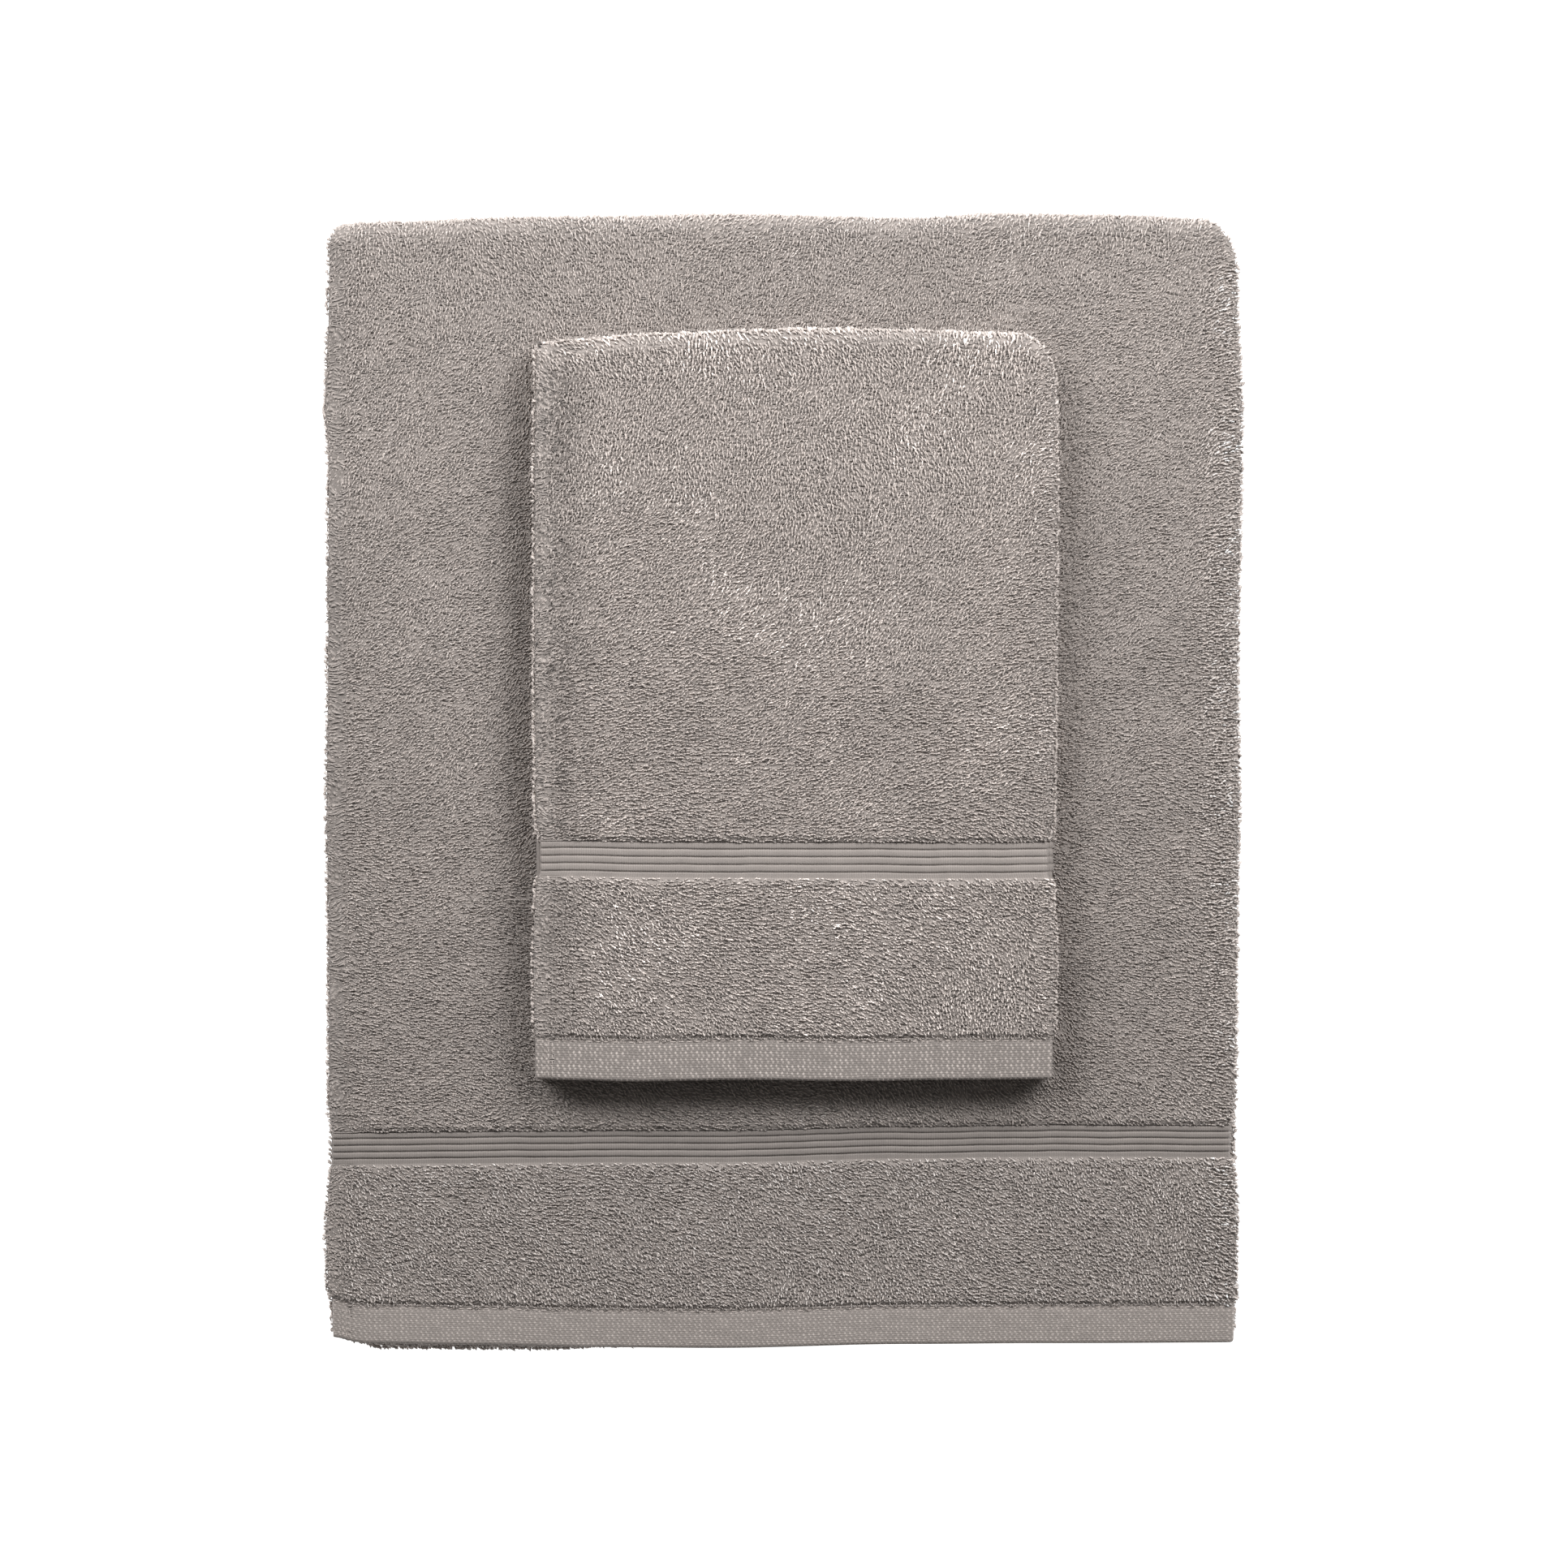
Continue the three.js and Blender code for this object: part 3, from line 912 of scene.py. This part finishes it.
loops = {
    "length": 2.1 * mm,
    "width": 0.74 * mm,
    "thickness": 0.62 * mm,
    "bend": 62,  # degrees, end to end
    "trianglesPerPiece": 190000,
    "hiddenPitch": 2.75 * mm,  # where another layer lies on the loops
    "hiddenSize": 1.42,
    "jitter": 0.32,  # out of its row, in pitches
    "headingSpread": 0.26,  # radians, as are pitch and roll
    "pitch": 0.10,
    "roll": 0.28,
    "sink": (0.05 * mm, 0.4 * mm),
    "size": (0.84, 1.16),
    "stretch": (0.72, 1.25),
    "bandStretch": 0.88,
    "openGrowth": 0.25,  # larger along the folds
    "edgePitch": 1.0 * mm,
    "edgeSize": 1.15,
    "edgeInset": 0.3 * mm,
    "edgeReach": 0.4 * mm,
    "edgeTilt": 1.3,
    "toEdge": 0.4 * mm,  # from the last loop to the open edge
    "swirls": ((120 * mm, 0.3), (45 * mm, 0.25)),  # wavelength and turn of the pile's swirl
    "fineSwirl": (14 * mm, 0.2),
}
guestShadowPaint = {  # painted shadow of the guest towel on the bath towel's pile, beside it
    "right": (20 * mm, 50 * mm),
    "left": (10 * mm, 32 * mm),
    "back": (5 * mm, 100 * mm),
    "front": (-12 * mm, 5 * mm),
    "darker": 0.75,
}
bathYarn = {
    "pileInside": False,
    "pitch": 1.42 * mm,
    "loop": 0.97,  # size of the loops
    "bandLoop": 1.0,
    "stand": (1.0, 0.9),  # height of the loops in the band and elsewhere
    "headings": (-1.15, 1.45, -0.4),  # radians at the front, at the back, and more to the right
    "openWidth": 20 * mm,  # how wide the strips are where loops stand open along the folds
    "openBackAndPaintedLight": 0.6,  # how much more painted light they get and how much they grow, painted shade where it is below 0
    "openRightAndPaintedLight": 3.4,
    # painted shade along the sewn long edge
    "leftPaintedShade": -1.9,
    "leftStrip": (7 * mm, 10 * mm),
    # painted highlight on the band's loops and on the edge tufts
    "bandGlare": 1.5,
    "edgeGlare": 1.5,
    "ribPitch": 2.55 * mm,
    "ribs": 4,
}
guestYarn = {
    "pileInside": True,
    "pitch": 1.42 * mm,
    "loop": 1.05,
    "bandLoop": 1.06,
    "stand": (1.0, 1.0),
    "headings": (-1.1, 1.9, -0.3),
    "openWidth": 20 * mm,
    "openBackAndPaintedLight": 1.1,
    "openRightAndPaintedLight": -0.5,
    "leftPaintedShade": -1.1,
    "leftStrip": (4 * mm, 30 * mm),
    "bandGlare": 0.45,
    "edgeGlare": 0.1,
    "ribPitch": 2.9 * mm,
    "ribs": 4,
}
bath.update(bathYarn)
guest.update(guestYarn)
stitch = {
    "length": 2.3 * mm,
    "gap": 0.9 * mm,
    "width": 0.5 * mm,
    "inset": 1.4 * mm,  # in from the hem's back edge
    "closing": (4.2 * mm, 5.6 * mm, 7.0 * mm),  # rows across the hem's left end
    "closingSize": 0.7,
    "lift": 0.05 * mm,
}


def modelYarn(name, sides, rings, size):
    # a spindle of yarn, lying along X
    deselectAll()
    bpy.ops.mesh.primitive_uv_sphere_add(segments=sides, ring_count=rings, radius=0.5)
    yarn = bpy.context.object
    yarn.name = name
    bpy.ops.object.mode_set(mode="EDIT")
    bpy.ops.mesh.select_all(action="SELECT")
    for turn, axis in ((180, "Z"), (90, "Y")):
        bpy.ops.transform.rotate(value=math.radians(turn), orient_axis=axis, center_override=(0, 0, 0))
    bpy.ops.transform.resize(value=size, center_override=(0, 0, 0))
    bpy.ops.object.mode_set(mode="OBJECT")
    return yarn


def bendYarn(yarn):
    # into an arch whose ends are the lowest
    bend = yarn.modifiers.new("bend", "SIMPLE_DEFORM")
    bend.deform_method = "BEND"
    bend.deform_axis = "Y"
    bend.angle = math.radians(-loops["bend"])
    bpy.ops.object.modifier_apply(modifier="bend")


def takeShape(model):
    # points and faces as arrays, and the model put away
    mesh = model.data
    points = np.array([vertex.co[:] for vertex in mesh.vertices])
    faces = [list(polygon.vertices) for polygon in mesh.polygons]
    bpy.data.objects.remove(model)
    bpy.data.meshes.remove(mesh)
    return {"points": points, "paintedRidgeShare": np.full(len(points), 0.5), "faces": faces}


def archHeight(points):
    # height of the arch's middle line, against the distance from its centre
    reach = np.abs(points[:, 0])
    ends = points[reach > reach.max() * 0.9, 2].mean()
    crown = points[reach < reach.max() * 0.7, 2].mean()
    inner = reach[reach < reach.max() * 0.7].mean()
    return (inner, reach.max()), (crown, ends)


def makeLoopShape():
    yarn = modelYarn("terryLoop", 3, 3, (loops["length"], loops["width"], loops["thickness"]))
    bendYarn(yarn)
    shape = takeShape(yarn)
    points = shape["points"]
    if points[np.argmax(np.abs(points[:, 0])), 2] > points[:, 2].mean():
        points[:, 1:] *= -1  # arch side up
    points[:, 2] -= points[:, 2].min()
    # painted light along the ridge, painted shade down both flanks
    middle = np.interp(np.abs(points[:, 0]), *archHeight(points))
    shape["paintedRidgeShare"] = np.clip(0.5 + (points[:, 2] - middle) / loops["thickness"] * 1.6, 0, 1)
    return shape


loopShape = makeLoopShape()
stitchSize = (stitch["length"], stitch["width"], stitch["width"])
stitchShape = takeShape(modelYarn("threadStitch", 6, 5, stitchSize))
print("loop and stitch modelled")


def hexPoints(sLow, sHigh, uLow, uHigh, pitch, draw):
    # staggered rows, a little out of place, kept inside their bounds
    jitter = loops["jitter"] * pitch
    rows = max(1, int((sHigh - sLow) / (pitch * 0.866)))
    columns = max(1, int((uHigh - uLow) / pitch))
    row, column = np.meshgrid(np.arange(rows), np.arange(columns), indexing="ij")
    s = sLow + (row + 0.5) / rows * (sHigh - sLow)
    u = uLow + (column + 0.25 + 0.5 * (row % 2)) / columns * (uHigh - uLow)
    s = s + draw.uniform(-jitter, jitter, s.shape)
    u = u + draw.uniform(-jitter, jitter, u.shape)
    s = sHigh - np.abs(sHigh - sLow - np.abs(s - sLow))
    u = uHigh - np.abs(uHigh - uLow - np.abs(u - uLow))
    return s.ravel(), u.ravel()


def loopDirection(towel, place):
    # which way the pile lies, in turns of a slow swirl
    look, x, y = towel["look"], place[:, 0], place[:, 1]
    (longWave, longTurn), (shortWave, shortTurn) = loops["swirls"]
    swirl = ripple(x, y, longWave, look["swirlSeed"]) * longTurn
    swirl = swirl + ripple(x, y, shortWave, look["swirlSeed"] + 1) * shortTurn
    fineWave, fineTurn = loops["fineSwirl"]
    low, high, atRight = towel["headings"]
    reach = (y - towel["front"]) / (towel["back"] - towel["front"])
    across = (x - towel["left"]) / (towel["right"] - towel["left"])
    base = low + (high - low) * reach + atRight * (across - 0.5)
    level = 1 - 0.8 * ease(across, 0.93, 1)
    return (base + swirl) * level + ripple(x, y, fineWave, look["swirlSeed"] + 2) * fineTurn


def openEdgesAndPaintedLight(towel, place):
    # how far the loops stand open along the folds, in patches; the same amount sets their painted light,
    # painted shade where it is below 0
    fromBack = 1 - ease(towel["back"] - place[:, 1], 1 * mm, towel["openWidth"])
    fromRight = 1 - ease(towel["right"] - place[:, 0], 2 * mm, towel["openWidth"])
    patch = np.clip(0.65 + 0.6 * ripple(place[:, 0], place[:, 1], 40 * mm, 77), 0, 1)
    return (fromBack * towel["openBackAndPaintedLight"] + fromRight * towel["openRightAndPaintedLight"]) * patch


def paintGuestShadow(place):
    # painted shadow beside the guest towel, fading towards its back
    toRight = 1 - ease(place[:, 0] - guest["right"], *guestShadowPaint["right"])
    toLeft = 1 - ease(guest["left"] - place[:, 0], *guestShadowPaint["left"])
    along = ease(guest["back"] - place[:, 1], *guestShadowPaint["back"])
    along = along * ease(place[:, 1] - guest["front"], *guestShadowPaint["front"])
    return np.minimum(toRight, toLeft) * along * guestShadowPaint["darker"]


def paintLoopLight(towel, place, s, draw):
    # painted light and shade on the loops: painted highlights where the loops stand open and on the band,
    # painted shade on those on the sewn long edge
    fromLeft = 1 - ease(place[:, 0] - towel["left"], *towel["leftStrip"])
    band = np.where(s < towel["bandEnd"], towel["bandGlare"], 0)
    # painted shadow of the guest towel on the bath towel's loops
    if towel is bath:
        band = band - paintGuestShadow(place)
    uneven = draw.uniform(-0.7, 2.1, len(place))
    return openEdgesAndPaintedLight(towel, place) * uneven + fromLeft * towel["leftPaintedShade"] + band


def makeSideHem(name, towel, upper, lowerBody, upperBody, finish):
    wide = towel["sideHem"] + cloth["overlap"]
    across = np.concatenate([[0, 0.15 * mm, 0.5 * mm, 1 * mm], lines([(1.5 * mm, 0.7 * mm), (wide, 1)])])
    uLines = towel["girth"] - across[::-1] if upper else across
    sLines = lengthLines(towel, 3 * mm, 5 * mm)
    sLines = sLines[(sLines > 0.25 * mm) & (sLines < towel["length"] - 0.25 * mm)]
    piece = makeSheet(name, towel, sLines, uLines, sideHemThickness)
    s = np.repeat(sLines, len(uLines))
    bendAtBackFold(piece, towel, lowerBody, upperBody, foldWeight(towel, np.concatenate([s, s])))
    piece.data.materials.append(finish)
    return piece


def placeCopies(shape, root, ahead, aside, up):
    # the shape's points at each root, along three directions whose lengths are its scale
    local = shape["points"][None]
    made = root[:, None] + local[..., 0:1] * ahead[:, None]
    return made + local[..., 1:2] * aside[:, None] + local[..., 2:3] * up[:, None]


def turnTowards(first, second, angle):
    return first * np.cos(angle) + second * np.sin(angle), second * np.cos(angle) - first * np.sin(angle)


def makeStitching(name, towel, nearEnd, body, finish):
    # running stitches: along the back of the hem on both layers, and up its left end
    girth = towel["girth"]
    step = stitch["length"] + stitch["gap"]
    along = np.arange(2 * mm, towel["straight"] - 1 * mm, step)
    seam = towel["hemDepth"] - stitch["inset"]
    rowsU = [along, girth - along]
    rowsS = [np.full(len(along), seam)] * 2
    turned = [False, False]
    for inset in stitch["closing"]:
        upward = np.arange(2 * mm, seam - 1 * mm, step * stitch["closingSize"])
        rowsU.append(np.full(len(upward), girth - inset))
        rowsS.append(upward)
        turned.append(True)
    made = []
    for u, s, up in zip(rowsU, rowsS, turned):
        s = s if nearEnd else towel["length"] - s
        place, normal, alongS, alongU = clothFrame(towel, s, u)
        half = hemThickness(towel, s, u)[:, None] / 2 + stitch["lift"]
        ahead, aside = (alongS, alongU) if up else (alongU, alongS)
        size = stitch["closingSize"] if up else 1.0
        root = place + normal * half
        made.append(placeCopies(stitchShape, root, ahead * size, aside * size, normal * size))
    made = np.concatenate(made)
    piece = pileMesh(name, made, np.full(len(made), 0.5), np.zeros(len(made)), stitchShape)
    piece.data.materials.append(finish)
    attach(piece, body)
    return piece


def plantLoops(name, towel, s, u, body, draw, size, edge=False):
    # copies of the one loop over the cloth, tipped outwards at an edge
    place, normal, alongS, alongU = clothFrame(towel, s, u)
    count = len(s)
    heading = loopDirection(towel, place) + draw.normal(0, loops["headingSpread"], count)
    if edge:
        way = alongU * np.where(u > towel["girth"] / 2, 1, -1)[:, None]
        tilt = draw.uniform(-loops["edgeTilt"], loops["edgeTilt"], count)[:, None]
        normal = way * np.cos(tilt) + normal * np.sin(tilt)
        root = place + way * loops["edgeReach"]
        heading = draw.uniform(0, math.pi, count)
    else:
        thick = np.maximum(groundThickness(towel, s, u), hemThickness(towel, s, u))
        root = place + normal * (thick / 2)[:, None]
    root = root - normal * draw.uniform(*loops["sink"], count)[:, None]

    # along the heading, in the plane of the cloth
    world = np.stack([np.cos(heading), np.sin(heading), np.zeros(count)], -1)
    ahead = world - normal * np.sum(world * normal, -1, keepdims=True)
    small = np.linalg.norm(ahead, axis=-1, keepdims=True) < 0.25
    ahead = unit(np.where(small, alongS, ahead))
    aside = np.cross(normal, ahead)

    # leaned at random, more where the cloth stands upright
    upright = 1 - ease(np.abs(normal[:, 2]), 0.35, 0.9)
    pitch = draw.normal(loops["pitch"], loops["pitch"], count) + upright * draw.uniform(0.1, 1.2, count)
    ahead, normal = turnTowards(ahead, normal, pitch[:, None])
    aside, normal = turnTowards(aside, normal, draw.normal(0, loops["roll"], count)[:, None])
    inBand = s < towel["bandEnd"]
    scale = draw.uniform(*loops["size"], count) * size * (1 + 0.3 * upright)
    scale = scale * (1 + loops["openGrowth"] * np.clip(openEdgesAndPaintedLight(towel, place), 0, 1))
    stretch = draw.uniform(*loops["stretch"], count) * np.where(inBand, loops["bandStretch"], 1.0)
    stand = np.where(inBand, *towel["stand"])
    made = placeCopies(loopShape, root, ahead * (scale * stretch)[:, None], aside * scale[:, None],
                       normal * (scale * stand)[:, None])
    tone = draw.uniform(0, 1, count)
    # painted light and shade for each loop: a fixed painted glare on the edge tufts
    paintedLight = np.full(count, towel["edgeGlare"]) if edge else paintLoopLight(towel, place, s, draw)

    # shared out over pieces of a fair size
    perPiece = loops["trianglesPerPiece"] // sum(len(face) - 2 for face in loopShape["faces"])
    parts = max(1, math.ceil(count / perPiece))
    bounds = np.linspace(0, count, parts + 1).astype(int)
    pieces = []
    for part, (low, high) in enumerate(zip(bounds, bounds[1:])):
        title = name if parts == 1 else f"{name}{part + 1}"
        piece = pileMesh(title, made[low:high], tone[low:high], paintedLight[low:high], loopShape)
        piece.data.materials.append(finishes[towel["name"] + "Pile"])
        if isinstance(body, tuple):
            weights = np.repeat(foldWeight(towel, s[low:high]), made.shape[1])
            bendAtBackFold(piece, towel, *body, weights)
        else:
            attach(piece, body)
        pieces.append(piece)
    return pieces


def pileMesh(name, made, tone, edge, shape):
    # one mesh of all the copies, with each loop's painted ridge share, tone and painted light and shade, and
    # its own cell in the flat layout
    count, corners = made.shape[:2]
    sizes = np.array([len(face) for face in shape["faces"]])
    order = np.concatenate([np.array(face) for face in shape["faces"]])
    vertex = (order[None] + (np.arange(count) * corners)[:, None]).ravel()
    starts = np.concatenate([[0], np.cumsum(np.tile(sizes, count))[:-1]])
    mesh = bpy.data.meshes.new(name)
    mesh.vertices.add(count * corners)
    mesh.vertices.foreach_set("co", made.astype(np.float32).ravel())
    mesh.loops.add(len(vertex))
    mesh.loops.foreach_set("vertex_index", vertex.astype(np.int32))
    mesh.polygons.add(len(starts))
    mesh.polygons.foreach_set("loop_start", starts.astype(np.int32))
    mesh.polygons.foreach_set("use_smooth", np.ones(len(starts), bool))
    mesh.update(calc_edges=True)
    marks = mesh.attributes.new("loopShade", "FLOAT_VECTOR", "POINT")
    shades = np.stack([np.tile(shape["paintedRidgeShare"], count), np.repeat(tone, corners), np.repeat(edge, corners)], -1)
    marks.data.foreach_set("vector", shades.astype(np.float32).ravel())
    cells = math.ceil(math.sqrt(count))
    cell = np.stack([np.arange(count) % cells, np.arange(count) // cells], -1)
    within = np.stack([shape["paintedRidgeShare"] * 0.5 + 0.25, np.full(corners, 0.5)], -1)
    chart = (cell[:, None] + within[None]) / cells
    baked = mesh.uv_layers.new(name="OFBake")
    baked.data.foreach_set("uv", chart.reshape(-1, 2)[vertex].astype(np.float32).ravel())
    piece = bpy.data.objects.new(name, mesh)
    scene.collection.objects.link(piece)
    return piece


def terryRanges(towel, low, high):
    # stretches of s between low and high that carry loops
    length = towel["length"]
    flats = [(0, towel["hemDepth"] - 0.3 * mm), (towel["bandEnd"] - 0.2 * mm, towel["borderEnd"])]
    flats += [(length - b, length - a) for a, b in flats]
    ranges, at = [], low
    for a, b in sorted(flats):
        if b <= at or a >= high:
            continue
        if a > at:
            ranges.append((at, min(a, high)))
        at = max(at, b)
    if at < high:
        ranges.append((at, high))
    return ranges


def plantArea(name, towel, run, across, body, draw, covered=None, hidden=False):
    # loops over one run of the path, in order along the towel
    pitch = loops["hiddenPitch"] if hidden else towel["pitch"]
    zones = terryRanges(towel, run["start"], run["end"])
    s, u = np.concatenate([hexPoints(*zone, *across, pitch, draw) for zone in zones], axis=1)
    if covered is not None:  # only what the guest towel covers, or only what it leaves open
        chosen = underGuest(towel, s, u) == covered
        s, u = s[chosen], u[chosen]
    order = np.argsort(s, kind="stable")
    s, u = s[order], u[order]
    size = loops["hiddenSize"] if hidden else 1.0
    size = size * np.where(s < towel["bandEnd"], towel["bandLoop"], towel["loop"])
    return plantLoops(name, towel, s, u, body, draw, size)


def plantEdge(name, towel, low, high, body, draw):
    # loops along the side hems' outer edges, on both layers
    strip = (0, 2.4 * loops["edgePitch"])
    found = [hexPoints(*zone, *strip, loops["edgePitch"], draw) for zone in terryRanges(towel, low, high)]
    s = np.concatenate([rows for rows, _ in found])
    upper = draw.uniform(0, 1, len(s)) < 0.5
    u = np.where(upper, towel["girth"] - loops["edgeInset"], loops["edgeInset"])
    order = np.argsort(s, kind="stable")
    return plantLoops(name, towel, s[order], u[order], body, draw, loops["edgeSize"], True)


def makeSewnParts(towel, lowerEnd, base, flap):
    # borders, hems, stitching and side hems of both ends
    name = towel["name"]
    parts = []
    for end, nearEnd, body in (("Top", True, flap), (lowerEnd, False, base)):
        parts.append(makeBorder(f"{name}{end}Border", towel, nearEnd, body, finishes[name + "Border"]))
        parts.append(makeHem(f"{name}{end}Hem", towel, nearEnd, body, finishes[name + "Hem"]))
    for end, nearEnd, body in (("Top", True, flap), (lowerEnd, False, base)):
        title = f"{name}{end}Stitching"
        parts.append(makeStitching(title, towel, nearEnd, body, finishes[name + "Thread"]))
    for end, upper in (("Upper", True), ("Lower", False)):
        parts.append(makeSideHem(f"{name}{end}SideHem", towel, upper, base, flap, finishes[name + "Side"]))
    return parts


def acrossTerry(towel):
    # the seen layer, and the strip round the lengthwise fold
    straight, turn = towel["straight"], towel["turn"]
    return (straight, towel["girth"] - loops["toEdge"]), (straight - 1 * mm, straight + turn + 1 * mm)


def makeBathTowel():
    towel, draw = bath, np.random.default_rng(101)
    base, flap = "bath_base", "bath_flap"
    ground = makeTowelCloth(towel, base, flap, finishes["bathGround"])
    parts = makeSewnParts(towel, "Inner", base, flap)
    top, fold, middle, frontFold, inner = towel["runs"]
    full, side = acrossTerry(towel)
    pile = plantArea("bathTopPile", towel, top, full, flap, draw, covered=False)
    pile += plantArea("bathHiddenPile", towel, top, full, flap, draw, covered=True, hidden=True)
    pile += plantArea("bathBackFoldPile", towel, fold, full, (base, flap), draw)
    pile += plantArea("bathFrontFoldPile", towel, frontFold, full, base, draw)
    pile += plantArea("bathMiddleSidePile", towel, middle, side, base, draw)
    pile += plantArea("bathInnerSidePile", towel, inner, side, base, draw)
    pile += plantEdge("bathTopEdgePile", towel, top["start"], top["end"], flap, draw)
    pile += plantEdge("bathBackEdgePile", towel, fold["start"], fold["end"], (base, flap), draw)
    pile += plantEdge("bathLowerEdgePile", towel, middle["start"], inner["end"], base, draw)
    return ground, parts, pile


def makeGuestTowel():
    towel, draw = guest, np.random.default_rng(202)
    base, flap = "guest_base", "guest_flap"
    ground = makeTowelCloth(towel, base, flap, finishes["guestGround"])
    parts = makeSewnParts(towel, "Lower", base, flap)
    top, fold, lower = towel["runs"]
    full, side = acrossTerry(towel)
    inside = (8.5 * mm, towel["straight"])
    pile = plantArea("guestTopPile", towel, top, full, flap, draw)
    pile += plantArea("guestBackFoldPile", towel, fold, full, (base, flap), draw)
    pile += plantArea("guestLowerSidePile", towel, lower, side, base, draw)
    pile += plantArea("guestUpperInnerPile", towel, top, inside, flap, draw, hidden=True)
    pile += plantArea("guestLowerInnerPile", towel, lower, inside, base, draw, hidden=True)
    pile += plantEdge("guestTopEdgePile", towel, top["start"], top["end"], flap, draw)
    pile += plantEdge("guestBackEdgePile", towel, fold["start"], fold["end"], (base, flap), draw)
    pile += plantEdge("guestLowerEdgePile", towel, lower["start"], lower["end"], base, draw)
    return ground, parts, pile


bathCloth, bathParts, bathPile = makeBathTowel()
print("bath towel made,", len(bathPile), "pile pieces")
guestCloth, guestParts, guestPile = makeGuestTowel()
print("guest towel made,", len(guestPile), "pile pieces")

# hide the CAD nodes that the pieces made here stand for
names = [node for nodes in frame["record"]["behaviour"]["bodies"].values() for node in nodes]
zones = ("border", "end_hem", "hem_stitching", "side_hem_upper", "side_hem_lower")
# places in the list of sewn parts, and whether each is on the top layer
partOrder = ((0, "border", True), (1, "end_hem", True), (2, "border", False), (3, "end_hem", False),
             (4, "hem_stitching", True), (5, "hem_stitching", False))
for prefix, top, clothPiece, parts, pile in (
    ("bath", "bath_flap_", bathCloth, bathParts, bathPile),
    ("guest", "guest_upper_", guestCloth, guestParts, guestPile),
):
    own = [name for name in names if name.startswith(prefix)]
    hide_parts(*[name for name in own if not name.endswith(zones)])
    for index, zone, onTop in partOrder:
        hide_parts(*[n for n in own if n.endswith(zone) and n.startswith(top) == onTop])
    for piece, zone in zip(parts[6:], zones[3:]):
        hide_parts(*[name for name in own if name.endswith(zone)])
    for piece in (clothPiece, *pile):
        prefix + "_terry"
bathParts + bathPile
guestParts + guestPile


def addFloor():
    deselectAll()
    ground = (0, 0, cadBox[0][2] - shot["floorDrop"])
    bpy.ops.mesh.primitive_plane_add(size=shot["floorSize"], location=ground)
    floor = bpy.context.object
    floor.name = "floor"
    finish = Finish("floor")
    finish.set("Base Color", (shot["floorTone"],) * 3 + (1,))
    finish.set("Roughness", 0.9)
    finish.set("Emission Color", (1, 1, 1, 1))
    finish.set("Emission Strength", shot["floorGlow"])
    floor.data.materials.append(finish.material)


addFloor()


def triangles(piece):
    mesh = piece.data
    return len(mesh.loops) - 2 * len(mesh.polygons)


made = (bathCloth, guestCloth, *bathParts, *guestParts, *bathPile, *guestPile)
counts = [triangles(piece) for piece in made]
print("triangles", sum(counts), "in", len(counts), "pieces, most", max(counts))
